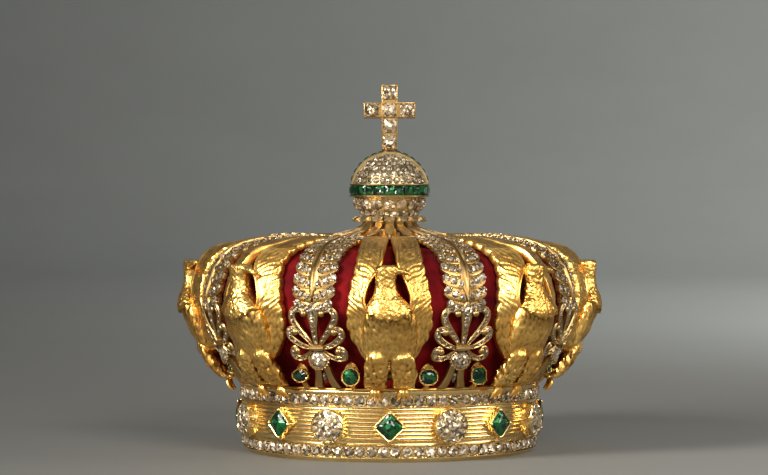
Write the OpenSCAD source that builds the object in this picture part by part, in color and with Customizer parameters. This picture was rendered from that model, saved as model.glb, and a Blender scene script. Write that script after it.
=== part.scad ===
// Arched crown: a ribbed circlet set with stones, eight eagles and eight palm arches
// round a velvet cap, and a globe with a cross on top. Millimetres, +Z up. The crown
// stands on its foot, with the origin under its middle. Azimuth 0 faces the front, -Y.

/* [Circlet] */
// Inner radius of the circlet, where the head goes in
head_r = 49.4; // [47:0.2:53]
// Thickness of the wall behind the ribs
wall_t = 2.4; // [2.2:0.1:3.4]
// Height of the plain foot
foot_h = 1.3; // [0.8:0.1:2]
// How far the foot is set back from the ground of the ribs
foot_back = 0.9; // [0.4:0.1:1.1]
// Height of the thin lips beside the diamonds
lip_h = 0.4; // [0.3:0.05:0.6]
// Height of the ribbed ground
ribs_h = 12.8; // [12.4:0.1:16]
// Number of ribs round the band
rib_count = 8; // [6:1:10]
// How far the ribs stand out
rib_proud = 0.55; // [0.3:0.05:0.8]
// Height of the plain edge above the upper diamonds
edge_h = 0.8; // [0.6:0.1:1.6]

/* [Rows of diamonds] */
// Number of stones in each row
row_count = 80; // [70:1:80]
// Height of a stone in the lower row
lower_h = 3.6; // [3.2:0.1:4]
// Height of a stone in the upper row
upper_h = 4.4; // [3.8:0.1:4.8]
// Thickness of a row stone
row_t = 1.3; // [1:0.1:1.6]
// How far the lower channel is sunk behind the ground
lower_sink = 0.5; // [0.2:0.1:0.8]
// How far the upper channel stands out from the ground
upper_proud = 0.3; // [0:0.1:0.6]
// Gap between one stone of a row and the next
stone_gap = 0.2; // [0.15:0.05:0.5]

/* [Settings on the band] */
// Side of the square emeralds
square_side = 6.8; // [5.6:0.1:7]
// Gold border round each stone of the band
border_t = 0.6; // [0.4:0.05:0.8]
// How far the square collets stand out from the ground
square_out = 2.3; // [1.8:0.1:3]
// Radius of the round diamond clusters
cluster_r = 5.4; // [4.6:0.1:5.6]
// How far the round cups stand out from the ground
cup_out = 3.6; // [3:0.1:4.2]
// Depth to which a stone sits in its collet
seat_depth = 0.8; // [0.6:0.05:1]
// Rise of the clusters above their cups
cluster_rise = 1.3; // [0.8:0.1:1.8]

/* [Rim setting] */
// Thickness of the wire ring on the rim
wire_t = 0.8; // [0.6:0.1:1.2]
// Width of the wire ring
wire_w = 1.6; // [1.4:0.1:1.8]
// Angle from a palmette to the collets beside it
collet_turn = 9.3; // [8.8:0.1:10]
// Outer radius of a small collet
collet_r = 3.2; // [2.8:0.05:3.3]
// Height of the small collets' middles above the wire
collet_up = 4.1; // [3.8:0.1:4.6]
// Depth of a small collet from back to front
collet_depth = 2.8; // [2.4:0.1:3.2]
// How far the small collets' fronts stand out beyond the wire ring
collet_out = 4.6; // [4:0.1:5]
// Length of the pointed leaf above each collet
leaf_h = 1.7; // [1:0.1:2]

/* [Arches] */
// Height of the arches' shoulders above the table
shoulder_z = 76.2; // [73:0.2:79]
// Radius of the arches where they bulge most
bulge_r = 67.6; // [66:0.2:70]
// Radius where the arches end at the collar
collar_r = 11; // [10:0.2:12]
// Thickness of the gold of the arches
arch_t = 2; // [1.6:0.1:2.2]
// Half the spread of an eagle's wings
wing_half_w = 14.8; // [13.4:0.1:15]
// Half the width of a palm leaf
palm_half_w = 7.6; // [6:0.1:8]
// Rise of the palm leaf's middle rib
palm_rib = 1.2; // [0.8:0.1:1.8]
// Least gap between a wing and the palm leaf beside it
strip_gap = 0.7; // [0.5:0.1:1]

/* [Eagles] */
// Height of an eagle from the rim to the top of its head
eagle_h = 42; // [40:0.2:44]
// How far the breast stands out beyond the arches
breast_out = 7.4; // [6:0.1:8.4]
// Half the width of the body
body_half_w = 11.5; // [10:0.1:12]
// Half the distance between the feet
foot_half_gap = 4.7; // [4.3:0.1:5]
// Thickness of a toe
toe_t = 1.4; // [1.1:0.1:1.6]
// How far the toes reach down over the upper diamonds
toe_drop = 5.2; // [4:0.1:5.6]

/* [Palmettes] */
// Half the spread of the scrolls
scroll_half_w = 10; // [8.5:0.1:10.4]
// Height of the scrolls above the rim
scroll_h = 27.3; // [26.5:0.1:28]
// Width of the scroll bars
bar_w = 2.1; // [1.6:0.1:2.3]
// Thickness of the scroll bars
bar_t = 1.6; // [1.3:0.1:2]
// Radius of the round diamond
drop_r = 3.2; // [2.8:0.1:3.4]
// Half the spread of the legs where they stand
leg_half_w = 4.1; // [3.4:0.1:4.4]

/* [Velvet cap] */
// Thickness of the padded velvet
velvet_t = 1.8; // [1.2:0.1:2.4]
// How far the velvet puffs out between the arches
puff = 0.8; // [0.2:0.1:0.9]

/* [Globe and cross] */
// Height of the collar under the globe
collar_h = 5; // [4.4:0.1:6]
// Reach of the collar's curled leaves
leaf_reach = 12.4; // [11.6:0.1:13]
// Radius of the globe's gold
globe_r = 12.8; // [12:0.1:13.6]
// Height of the globe below its middle
globe_drop = 9.9; // [9.4:0.1:10.2]
// Height of the emerald band
belt_h = 4.6; // [3.8:0.1:5.2]
// How far the emerald band stands out from the globe
belt_out = 1.6; // [1.2:0.1:1.9]
// Number of emeralds in the band
belt_count = 24; // [18:1:26]
// Width of the band over the top
hoop_w = 4.6; // [3.8:0.1:5.4]
// How far the band over the top stands out from the globe
hoop_out = 1.6; // [1.2:0.1:1.9]
// Number of larger diamonds below the emerald band
globe_row_count = 16; // [12:1:16]
// Height of the cross
cross_h = 23.1; // [21:0.1:25]
// Span of the arms of the cross
cross_span = 18.4; // [16.6:0.1:20]
// Width of the limbs of the cross
limb_w = 5.7; // [5.2:0.1:6]
// Thickness of the cross from front to back
cross_t = 3; // [2.4:0.1:3.6]

/* [Hidden] */
$fn = 64;
count = 8;
sector = 360 / count;
fit = 0.1;
NUMBERED = concat(
  [for (k = [1 : count]) str("eagle_", k)],
  [for (k = [1 : count]) str("palmette_", k)],
  [for (k = [1 : count]) str("band_emerald_", k)],
  [for (k = [1 : count]) str("diamond_cluster_", k)],
  [for (k = [1 : 2 * count]) str("collet_emerald_", k)]);

gold = "goldenrod";
diamond = "lavender";
emerald = "seagreen";
crimson = "firebrick";

// Circlet, worked out from the foot upwards
ground_r = head_r + wall_t;
lower_floor_r = ground_r - lower_sink;
upper_floor_r = ground_r + upper_proud;
lip_share = 0.6;
lower_z = foot_h + lip_h;
ribs_z = lower_z + lower_h + 2 * fit + lip_h;
ribs_top = ribs_z + ribs_h;
upper_z = ribs_top + lip_h;
circlet_h = upper_z + upper_h + 2 * fit + edge_h;
band_mid_z = ribs_z + ribs_h / 2;
cove_share = 0.12;
rib_pitch = ribs_h * (1 - cove_share) / rib_count;
wire_z = circlet_h + fit;
seat_z = wire_z + wire_t + fit;
upper_lip_r = upper_floor_r + lip_share * row_t;
upper_face_r = upper_floor_r + fit + row_t;
wire_over = 0.3;
wire_r = upper_lip_r + wire_over;
palm_turn = sector / 2;

// Arches. A row for each section from the rim to the collar: height share of the rise
// from the rim to the shoulder; reach share, from the rim to the bulge up to the bulge's
// row and from the collar to the bulge above it; then the wing's outer and inner edges and
// the palm leaf's edge as shares of their half widths
RISE = 0;
REACH = 1;
WING = 2;
SLOT = 3;
PALM = 4;
ARCH = [
  [0,     0,     0,    0,    0],
  [0.101, 0.247, 0.20, 0,    0],
  [0.209, 0.531, 0.50, 0,    0],
  [0.327, 0.770, 0.86, 0,    0.30],
  [0.445, 0.923, 1,    0,    0.45],
  [0.563, 1,     0.98, 0.44, 0.86],
  [0.681, 0.989, 0.92, 0.44, 1],
  [0.799, 0.951, 0.82, 0.30, 0.98],
  [0.894, 0.875, 0.75, 0.12, 0.95],
  [0.957, 0.751, 0.69, 0.08, 0.90],
  [0.990, 0.601, 0.64, 0.05, 0.84],
  [1,     0.442, 0.58, 0.03, 0.80],
  [0.992, 0.283, 0.50, 0.02, 0.75],
  [0.978, 0.150, 0.42, 0.02, 0.70],
  [0.990, 0.080, 0.35, 0.02, 0.65],
  [1.020, 0.021, 0.30, 0.02, 0.60],
  [1.047, 0,     0.25, 0.02, 0.60]];
last_row = len(ARCH) - 1;
bulge_row = 5;
wing_start = 2;
face_rows = 9;
wing_crowd = 0.6;
arch_step = 1.4;
arch_foot_r = wire_r + arch_step;
palm_foot_share = 0.958;
palm_start = row_at(scroll_z(palm_foot_share));

function arch(t, column) = lookup(t, [for (row = [0 : last_row]) [row, ARCH[row][column]]]);
function arch_z(t) = seat_z + arch(t, RISE) * (shoulder_z - seat_z);
function arch_r(t) =
  let (inner_r = t < bulge_row ? arch_foot_r : collar_r)
  inner_r + arch(t, REACH) * (bulge_r - inner_r);
function arch_normal(t) =
  let (a = max(t - 0.5, 0), b = min(t + 0.5, last_row))
  let (dr = arch_r(b) - arch_r(a), dz = arch_z(b) - arch_z(a), size = norm([dr, dz]))
  [dz / size, -dr / size];

// A point of a radius, height and sideways offset, wrapped round the crown
function wrapped(r, side, z, at_r) =
  let (turn = side / at_r * 180 / PI) [r * sin(turn), -r * cos(turn), z];
// A point on the arches at row t, lifted along the arches' normal
function on_arch(t, side, lift) =
  let (n = arch_normal(t), r = arch_r(t))
  wrapped(r + lift * n[0], side, arch_z(t) + lift * n[1], r);
// The radius and the row of the upright part of the arches at a height, and a point there
// lifted outwards
function arch_r_at(z) = lookup(z, [for (row = [0 : face_rows]) [arch_z(row), arch_r(row)]]);
function row_at(z) = lookup(z, [for (row = [0 : face_rows]) [arch_z(row), row]]);
function on_face(z, side, lift) = wrapped(arch_r_at(z) + lift, side, z, arch_r_at(z));

function half_pitch(t) = PI * arch_r(t) / count;
function wing_out(t) = min(arch(t, WING) * wing_half_w, wing_crowd * half_pitch(t));
function wing_in(t) = arch(t, SLOT) * wing_half_w;
function palm_out(t) = min(arch(t, PALM) * palm_half_w, half_pitch(t) - wing_out(t) - strip_gap);

// A closed solid through rings of equally many points, counter-clockwise from its end
module loft(rings) {
  sides = len(rings[0]);
  last = len(rings) - 1;
  polyhedron(
    points = [for (ring = rings) each ring],
    faces = concat(
      [for (i = [1 : sides - 2]) [0, i, i + 1]],
      [for (k = [0 : last - 1], i = [0 : sides - 1])
        let (j = (i + 1) % sides, a = k * sides, b = a + sides)
        each [[a + i, b + i, b + j], [a + i, b + j, a + j]]],
      [for (i = [1 : sides - 2]) let (a = last * sides) [a, a + i + 1, a + i]]));
}

// A cut stone lying on its flat back, table up: an oval or cut-cornered girdle that
// narrows to the table. Squareness 2 is an oval, and larger values are squarer
function stone_ring(w, h, z, squareness, sides) = [
  for (i = [0 : sides - 1])
    let (a = (i + 0.5) * 360 / sides, c = cos(a), s = sin(a))
    [w / 2 * sign(c) * pow(abs(c), 2 / squareness), h / 2 * sign(s) * pow(abs(s), 2 / squareness), z]];
table_share = 0.62;
module cut_stone(w, h, t, squareness = 2.6, sides = 8) {
  loft([
    stone_ring(w, h, 0, squareness, sides),
    stone_ring(w * table_share, h * table_share, t, squareness, sides)]);
}

// Puts a piece that is built face up at the origin on the crown's side, facing outwards
module facing_out(turn, r, z) {
  rotate([0, 0, turn]) translate([0, -r, z]) rotate([90, 0, 0]) children();
}

// Circlet
cup_r = cluster_r + fit + border_t;
square_outer = square_side + 2 * fit + 2 * border_t;

rib_steps = 3;
function rib_points(z0) = [
  for (i = [0 : rib_steps])
    let (a = 180 * i / rib_steps)
    [ground_r + rib_proud * sin(a), z0 + rib_pitch * (1 - cos(a)) / 2]];
function channel(floor_r, z0, h) = [
  [floor_r + lip_share * row_t, z0 - lip_h],
  [floor_r + lip_share * row_t, z0],
  [floor_r, z0],
  [floor_r, z0 + h + 2 * fit],
  [floor_r + lip_share * row_t, z0 + h + 2 * fit]];
function circlet_outline() = concat(
  [[head_r, 0], [ground_r - foot_back, 0], [ground_r - foot_back, foot_h]],
  channel(lower_floor_r, lower_z, lower_h),
  [[lower_floor_r + lip_share * row_t, ribs_z], [ground_r, ribs_z]],
  [for (k = [0 : rib_count - 1]) each rib_points(ribs_top - (rib_count - k) * rib_pitch)],
  channel(upper_floor_r, upper_z, upper_h),
  [[upper_lip_r, circlet_h], [head_r, circlet_h]]);

module square_prism(side, depth) {
  rotate([0, 0, 45]) translate([-side / 2, -side / 2, 0]) cube([side, side, depth]);
}

module circlet() {
  root = wall_t / 2;
  color(gold) difference() {
    union() {
      rotate_extrude() polygon(circlet_outline());
      for (k = [0 : count - 1]) {
        facing_out(k * sector, ground_r - root, band_mid_z)
          square_prism(square_outer, root + square_out);
        facing_out(k * sector + palm_turn, ground_r - root, band_mid_z)
          cylinder(r = cup_r, h = root + cup_out);
      }
    }
    for (k = [0 : count - 1]) {
      facing_out(k * sector, ground_r + square_out - seat_depth, band_mid_z)
        square_prism(square_side + 2 * fit, 2 * seat_depth);
      facing_out(k * sector + palm_turn, ground_r + cup_out - seat_depth, band_mid_z)
        cylinder(r = cluster_r + fit, h = 2 * seat_depth);
    }
  }
}

module diamond_row(floor_r, z0, h) {
  back_r = floor_r + fit;
  w = 2 * back_r * tan(180 / row_count) - stone_gap;
  color(diamond)
    for (k = [0 : row_count - 1])
      facing_out((k + 0.5) * 360 / row_count, back_r, z0 + fit + h / 2) cut_stone(w, h, row_t);
}

module lower_diamonds() diamond_row(lower_floor_r, lower_z, lower_h);
module upper_diamonds() diamond_row(upper_floor_r, upper_z, upper_h);

// A square step-cut emerald on its point, with a deep bevel and a small table
square_rise = 1.1;
square_corner = 7;
module band_emerald(k) {
  r = ground_r + square_out - seat_depth + fit;
  color(emerald) facing_out(k * sector, r, band_mid_z) rotate([0, 0, 45])
    loft([
      stone_ring(square_side, square_side, 0, square_corner, 8),
      stone_ring(square_side, square_side, seat_depth, square_corner, 8),
      stone_ring(square_side * table_share, square_side * table_share, seat_depth + square_rise,
                 square_corner, 8)]);
}

// The domed field of small diamonds in a round cup
module diamond_cluster(k) {
  r = ground_r + cup_out - seat_depth + fit;
  top = seat_depth + cluster_rise;
  dome_r = (pow(cluster_r, 2) + pow(cluster_rise, 2)) / (2 * cluster_rise);
  color(diamond) facing_out(k * sector + palm_turn, r, band_mid_z) intersection() {
    cylinder(r = cluster_r, h = top);
    translate([0, 0, top - dome_r]) sphere(r = dome_r);
  }
}

// Rim setting: a wire ring with the small collets, the brackets that carry them and their
// pointed leaves
collet_z = wire_z + wire_t + collet_up;
collet_front_r = wire_r + collet_out;
function collet_azimuth(k) =
  palm_turn + floor((k - 1) / 2) * sector + (k % 2 == 1 ? -collet_turn : collet_turn);
module rim_setting() {
  back_r = collet_front_r - collet_depth;
  leaf_w = collet_r * 0.9;
  bracket = [
    [wire_r - wire_w / 2, wire_z], [wire_r, wire_z],
    [collet_front_r - seat_depth, collet_z - collet_r / 2], [back_r + border_t, collet_z]];
  color(gold) difference() {
    union() {
      translate([0, 0, wire_z]) difference() {
        cylinder(r = wire_r, h = wire_t);
        translate([0, 0, -1]) cylinder(r = wire_r - wire_w, h = wire_t + 2);
      }
      for (k = [1 : 2 * count]) {
        rotate([0, 0, collet_azimuth(k)]) rotate([90, 0, -90])
          linear_extrude(collet_r, center = true) polygon(bracket);
        facing_out(collet_azimuth(k), back_r, collet_z) {
          cylinder(r = collet_r, h = collet_depth);
          translate([0, 0, collet_depth / 3]) linear_extrude(collet_depth / 3)
            polygon([[-leaf_w, collet_r / 2], [leaf_w, collet_r / 2], [0, collet_r + leaf_h]]);
        }
      }
    }
    for (k = [1 : 2 * count])
      facing_out(collet_azimuth(k), collet_front_r - seat_depth, collet_z)
        cylinder(r = collet_r - border_t / 2, h = 2 * seat_depth);
  }
}

// Small emeralds. A row for each of the four stones of a quarter: width and height as
// shares of the collet's bore, then the squareness of the outline
COLLET_STONES = [
  [0.92, 0.98, 2.0],
  [0.98, 0.80, 2.2],
  [0.94, 0.94, 3.0],
  [0.98, 0.66, 1.7]];
small_rise = 1;
module collet_emerald(k) {
  cut = COLLET_STONES[k % len(COLLET_STONES)];
  bore = 2 * (collet_r - border_t / 2 - fit);
  color(emerald) facing_out(collet_azimuth(k), collet_front_r - seat_depth + fit, collet_z)
    cut_stone(bore * cut[0], bore * cut[1], seat_depth + small_rise, cut[2]);
}

// Eagles. A row for each section of body, neck and head: height share of the eagle,
// front and back beyond the arch as shares of the breast, half width share, side shift.
// Above the bulge the neck and the head stand free
UP = 0;
FRONT = 1;
BACK = 2;
HALF = 3;
SHIFT = 4;
EAGLE = [
  [0.255, 0.76, -0.04, 0.62, 0],
  [0.348, 0.95, -0.21, 0.88, 0],
  [0.466, 1.11, -0.23, 1,    0],
  [0.585, 1.08, -0.27, 0.94, 0],
  [0.668, 0.92, -0.18, 0.70, 0],
  [0.745, 0.76, 0.02,  0.42, 0],
  [0.850, 0.72, 0.04,  0.32, 0],
  [0.935, 0.76, 0.04,  0.36, 0.03],
  [0.990, 0.52, 0.18,  0.24, 0.04]];
// A row for each section of a thigh, with the same columns and its own middle as shift
THIGH = [
  [0,     0.68, -0.22, 0.28, 0.36],
  [0.125, 1,    -0.12, 0.37, 0.37],
  [0.245, 0.89, -0.11, 0.38, 0.38],
  [0.345, 0.77, -0.16, 0.32, 0.40]];

function oval(half_w, front_r, back_r, z, shift, sides) = [
  for (i = [0 : sides - 1])
    let (a = (i + 0.5) * 360 / sides)
    wrapped((front_r + back_r) / 2 - (front_r - back_r) / 2 * sin(a),
            shift + half_w * cos(a), z, (front_r + back_r) / 2)];
function eagle_rings(rows, sides) = [
  for (row = rows)
    let (z = seat_z + row[UP] * eagle_h, base_r = arch_r_at(min(z, arch_z(bulge_row))))
    oval(row[HALF] * body_half_w, base_r + row[FRONT] * breast_out, base_r + row[BACK] * breast_out,
         z, row[SHIFT] * body_half_w, sides)];

// Wings: raised along the inner edge and sloping to the outer one
rim_lift = 0.9;
edge_lift = -0.3;
WING_ROWS = [wing_start, 3.5, 5, 6, 7, 8, 9, 10.5, 13, last_row];
module wing() {
  loft([
    for (t = WING_ROWS)
      let (inner = wing_in(t) + fit, outer = wing_out(t))
      [on_arch(t, inner, -arch_t), on_arch(t, inner, rim_lift),
       on_arch(t, outer, edge_lift), on_arch(t, outer, -arch_t)]]);
}

// Three toes, each a taper that bends over the rim and down in front of the diamonds. A
// row for each section: height share of the drop below the seat, then in toe thicknesses
// the half width, front and back beyond the diamonds and pitch from toe to toe
TOE = [
  [1,    0.3, 0.6, 0,   1.35],
  [0.3,  0.5, 2,   0,   1.35],
  [-0.3, 0.5, 3,   0.5, 0.95]];
module foot(side) {
  tip_r = upper_face_r + fit;
  for (i = [-1 : 1])
    loft([
      for (row = TOE)
        let (x = side + i * row[4] * toe_t, w = row[1] * toe_t, z = seat_z - row[0] * toe_drop)
        let (front_r = tip_r + row[2] * toe_t, back_r = tip_r + row[3] * toe_t)
        [[x - w, -back_r, z], [x - w, -front_r, z], [x + w, -front_r, z], [x + w, -back_r, z]]]);
}

// The hooked beak, turned to the side. A row for each section from the cheek to the tip:
// side share of the body's half width, then height above the head's middle and half
// height as shares of the eagle
BEAK = [
  [0.12, 0.007,  0.040],
  [0.46, 0,      0.021],
  [0.54, -0.036, 0.007]];
beak_up = 0.925;
beak_out = 0.5;
module beak() {
  middle_r = bulge_r + beak_out * breast_out;
  loft([
    for (row = BEAK)
      let (x = row[0] * body_half_w, z = seat_z + (beak_up + row[1]) * eagle_h, h = row[2] * eagle_h)
      [[x, h - middle_r, z + h], [x, h - middle_r, z - h],
       [x, -h - middle_r, z - h], [x, -h - middle_r, z + h]]]);
}

module eagle(k) {
  color(gold) rotate([0, 0, (k - 1) * sector]) {
    loft(eagle_rings(EAGLE, 8));
    beak();
    for (flip = [0 : 1])
      mirror([flip, 0, 0]) {
        wing();
        loft(eagle_rings(THIGH, 6));
        foot(foot_half_gap);
      }
  }
}

// Palmettes. The palm leaf has pairs of leaflets, each pair a swelling of its edge
leaflet_pairs = 8;
leaflet_end = 10;
leaflet_notch = 0.14;
leaf_edge = -0.9;
palm_stations = concat(
  [for (i = [0 : 2 * leaflet_pairs - 1]) palm_start + (leaflet_end - palm_start) * i / (2 * leaflet_pairs)],
  [leaflet_end, 11.5, 13.5, last_row]);
module palm_leaf() {
  loft([
    for (i = [0 : len(palm_stations) - 1])
      let (t = palm_stations[i], notched = i < 2 * leaflet_pairs && i % 2 == 0)
      let (half = palm_out(t) * (notched ? 1 - leaflet_notch : 1))
      [on_arch(t, -half, -arch_t), on_arch(t, -half, leaf_edge), on_arch(t, 0, palm_rib),
       on_arch(t, half, leaf_edge), on_arch(t, half, -arch_t)]]);
}

// Scrolls of one side. A row for each point: share of the half spread, share of the height
TOP_SCROLL = [[0.02, 0.52], [0.50, 0.69], [0.78, 0.87], [0.66, 0.98], [0.32, 0.985]];
MIDDLE_SCROLL = [[0.02, 0.51], [0.40, 0.54], [0.82, 0.62], [0.92, 0.69], [0.76, 0.715]];
LOWER_SCROLL = [[0.04, 0.49], [0.40, 0.42], [0.74, 0.38], [0.91, 0.44], [0.76, 0.49]];

function scroll_z(share) = seat_z + share * scroll_h;
bar_in = -0.6;
// The section of a flat bar on the face of the arches, between two places side and z
function bar_ring(left, right) = [
  on_face(left[1], left[0], bar_in), on_face(left[1], left[0], bar_in + bar_t),
  on_face(right[1], right[0], bar_in + bar_t), on_face(right[1], right[0], bar_in)];
module scroll(rows) {
  path = [for (row = rows) [row[0] * scroll_half_w, scroll_z(row[1])]];
  last = len(path) - 1;
  loft([
    for (i = [0 : last])
      let (step = path[min(i + 1, last)] - path[max(i - 1, 0)], across = [-step[1], step[0]] / norm(step))
      bar_ring(path[i] + across * bar_w / 2, path[i] - across * bar_w / 2)]);
}

// The stem between the scrolls with the bud above it. A row for each section: share of
// the height and share of the bar's width
STEM = [
  [0.30, 0.45],
  [0.51, 0.85],
  [0.93, 0.72],
  [1.06, 0.30]];

// A leg from the rim up to the round diamond, with its sole on the wire ring and its top
// in the base of the diamond's cup
function sole_ring(left, right, z) =
  let (back = wire_w - wire_r, front = -wire_r - bar_t)
  [[left, back, z], [left, front, z], [right, front, z], [right, back, z]];
leg_top_share = 0.35;
module leg() {
  top_z = drop_z - drop_r + bar_w / 2;
  top_side = leg_half_w * leg_top_share;
  loft([
    sole_ring(leg_half_w - bar_w, leg_half_w, seat_z),
    bar_ring([leg_half_w - bar_w, seat_z + bar_t], [leg_half_w, seat_z + bar_t]),
    bar_ring([top_side - bar_w / 2, top_z], [top_side + bar_w / 2, top_z]),
    bar_ring([0, drop_z], [bar_w, drop_z])]);
}

drop_share = 0.372;
drop_z = scroll_z(drop_share);
drop_rim = 0.5;
drop_out = 2.2;
module palmette(k) {
  back_r = arch_r_at(drop_z) + bar_in;
  color(gold) rotate([0, 0, palm_turn + (k - 1) * sector]) {
    palm_leaf();
    difference() {
      union() {
        for (flip = [0 : 1])
          mirror([flip, 0, 0]) {
            scroll(TOP_SCROLL);
            scroll(MIDDLE_SCROLL);
            scroll(LOWER_SCROLL);
            leg();
          }
        loft([
          for (row = STEM)
            let (z = scroll_z(row[0]), half_w = row[1] * 2 * bar_w)
            bar_ring([-half_w, z], [half_w, z])]);
        facing_out(0, back_r, drop_z) cylinder(r = drop_r + drop_rim, h = drop_out);
      }
      facing_out(0, back_r + drop_out - seat_depth, drop_z) cylinder(r = drop_r + fit, h = 2 * seat_depth);
    }
  }
}

drop_rise = 1.5;
module palmette_diamonds() {
  r = arch_r_at(drop_z) + bar_in + drop_out - seat_depth + fit;
  w = 2 * drop_r;
  color(diamond)
    for (k = [0 : count - 1])
      facing_out(palm_turn + k * sector, r, drop_z) cut_stone(w, w, seat_depth + drop_rise, 2, 10);
}

// Velvet cap: a hollow wall that follows the arches inside, puffs out between them and is
// drawn in behind the small collets above the rim
cap_clear = 1;
cap_rows = [0, 1, 3, 5, 7, 8.5, 10, 13, 15];
strip_turn = 14;
RING_TURNS = [-palm_turn, -strip_turn, 0, strip_turn];
drawn_in = 1.6;
drawn_rows = 3;
function puff_at(t) = t > leaflet_end ? 0 : puff * arch(t, PALM);
function drawn_at(t) = drawn_in * max(0, 1 - t / drawn_rows);
function cap_point(t, turn, in) =
  let (n = arch_normal(t), bulging = abs(turn) == strip_turn ? puff_at(t) : 0)
  let (lift = bulging - arch_t - cap_clear - drawn_at(t) - in)
  [arch_r(t) + lift * n[0], arch_z(t) + lift * n[1]];
cap_foot_r = wire_r - wire_w - 5 * fit;
function cap_foot(in) = [cap_foot_r - min(in, cap_foot_r - head_r), wire_z - in];
function cap_ring(t, in) = [
  for (s = [0 : count - 1], turn = RING_TURNS)
    let (p = t == 0 ? cap_foot(in) : cap_point(t, turn, in), a = turn + s * sector)
    [p[0] * sin(a), -p[0] * cos(a), p[1]]];
module velvet_cap() {
  color(crimson) difference() {
    loft([for (t = cap_rows) cap_ring(t, 0)]);
    loft([for (t = cap_rows) cap_ring(t, velvet_t)]);
  }
}

// Collar of curled leaves round a core. A row for each section of a leaf from its root to
// its tip: reach share from the root to the tip, height share of the collar, half width as
// a share of the pitch at the root, and thickness share
leaves = 2 * count;
leaf_t = 1;
leaf_root_r = collar_r - arch_t - fit;
core_r = leaf_root_r - leaf_t / 2;
collar_sunk = 1.2;
collar_z = arch_z(last_row) - collar_sunk;
collar_top = collar_z + collar_h;
LEAF = [
  [0,    0.04, 0.25, 0.9],
  [0,    0.50, 0.28, 1],
  [0.27, 0.86, 0.42, 1],
  [1,    0.92, 0.11, 0.5]];
module collar() {
  pitch = 2 * PI * leaf_root_r / leaves;
  color(gold) {
    translate([0, 0, collar_z]) cylinder(r = core_r, h = collar_h);
    for (k = [0 : leaves - 1])
      rotate([0, 0, k * 360 / leaves])
        loft([
          for (row = LEAF)
            let (r = leaf_root_r + row[0] * (leaf_reach - leaf_root_r), z = collar_z + row[1] * collar_h)
            let (w = row[2] * pitch, t = row[3] * leaf_t, back_r = r < leaf_reach ? r - 2 * t : r)
            [[-w, -back_r, z + t / 2], [-w, -r, z], [w, -r, z], [w, -back_r, z + t / 2]]]);
  }
}

// Globe, with the gold band over its top
globe_z = collar_top + fit + globe_drop;
hoop_r = globe_r + hoop_out;
belt_top = globe_z + belt_h / 2;
module globe() {
  color(gold) difference() {
    union() {
      translate([0, 0, globe_z]) sphere(r = globe_r);
      translate([0, hoop_w / 2, globe_z]) rotate([90, 0, 0]) cylinder(r = hoop_r, h = hoop_w);
    }
    translate([0, 0, globe_z - hoop_r - globe_drop]) cylinder(r = 2 * hoop_r, h = hoop_r);
    translate([0, 0, globe_z - globe_drop - 1]) difference() {
      cylinder(r = 2 * hoop_r, h = belt_top + fit - globe_z + globe_drop + 1);
      cylinder(r = globe_r, h = 4 * hoop_r, center = true);
    }
    translate([0, 0, globe_z - globe_drop - 1]) difference() {
      cylinder(r = globe_r + 1, h = globe_drop + 1);
      translate([0, 0, globe_drop + 1]) sphere(r = globe_r);
    }
  }
}

module globe_emerald_band() {
  outer = globe_r + belt_out;
  color(emerald) translate([0, 0, globe_z - belt_h / 2]) linear_extrude(belt_h) difference() {
    polygon([for (i = [0 : belt_count - 1]) let (a = i * 360 / belt_count) [outer * cos(a), outer * sin(a)]]);
    circle(r = globe_r + fit);
  }
}

globe_row_drop = 24;
globe_stone_t = 1.2;
globe_row_fill = 0.86;
module globe_diamonds() {
  w = globe_row_fill * 2 * globe_r * cos(globe_row_drop) * tan(180 / globe_row_count);
  color(diamond)
    for (k = [0 : globe_row_count - 1])
      rotate([0, 0, k * 360 / globe_row_count]) translate([0, 0, globe_z])
        rotate([90 + globe_row_drop, 0, 0]) translate([0, 0, globe_r + fit]) cut_stone(w, w, globe_stone_t);
}

// Cross, pierced for its stones
cross_z = globe_z + hoop_r + fit;
arm_drop = 1.6;
arm_z = cross_z + cross_h - limb_w * arm_drop;
cross_border_t = 0.9;
stone_side = limb_w - 2 * cross_border_t;
arm_step = (cross_span - limb_w) / 2;
lower_step = (arm_z - cross_z - limb_w / 2) / 2;
CROSS_PLACES = [
  [0, cross_z + cross_h - limb_w / 2],
  [0, arm_z],
  [-arm_step, arm_z],
  [arm_step, arm_z],
  [0, arm_z - limb_w / 2 - lower_step / 2],
  [0, cross_z + lower_step / 2]];
module cross() {
  color(gold) difference() {
    union() {
      translate([-limb_w / 2, -cross_t / 2, cross_z]) cube([limb_w, cross_t, cross_h]);
      translate([-cross_span / 2, -cross_t / 2, arm_z - limb_w / 2]) cube([cross_span, cross_t, limb_w]);
    }
    for (place = CROSS_PLACES)
      translate([place[0] - stone_side / 2 - fit, -cross_t, place[1] - stone_side / 2 - fit])
        cube([stone_side + 2 * fit, 2 * cross_t, stone_side + 2 * fit]);
  }
}

cross_stone_out = 0.5;
module cross_diamonds() {
  full_t = cross_t + 2 * cross_stone_out;
  color(diamond)
    for (place = CROSS_PLACES)
      translate([place[0], full_t / 2, place[1]]) rotate([90, 0, 0])
        loft([
          stone_ring(stone_side * table_share, stone_side * table_share, 0, 4, 8),
          stone_ring(stone_side, stone_side, cross_stone_out * 2, 4, 8),
          stone_ring(stone_side, stone_side, full_t - cross_stone_out * 2, 4, 8),
          stone_ring(stone_side * table_share, stone_side * table_share, full_t, 4, 8)]);
}

circlet();
lower_diamonds();
upper_diamonds();
rim_setting();
palmette_diamonds();
velvet_cap();
collar();
globe();
globe_emerald_band();
globe_diamonds();
cross();
cross_diamonds();
for (k = [1 : count]) {
  eagle(k);
  palmette(k);
  band_emerald(k - 1);
  diamond_cluster(k - 1);
}
for (k = [1 : 2 * count])
  collet_emerald(k);
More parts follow.
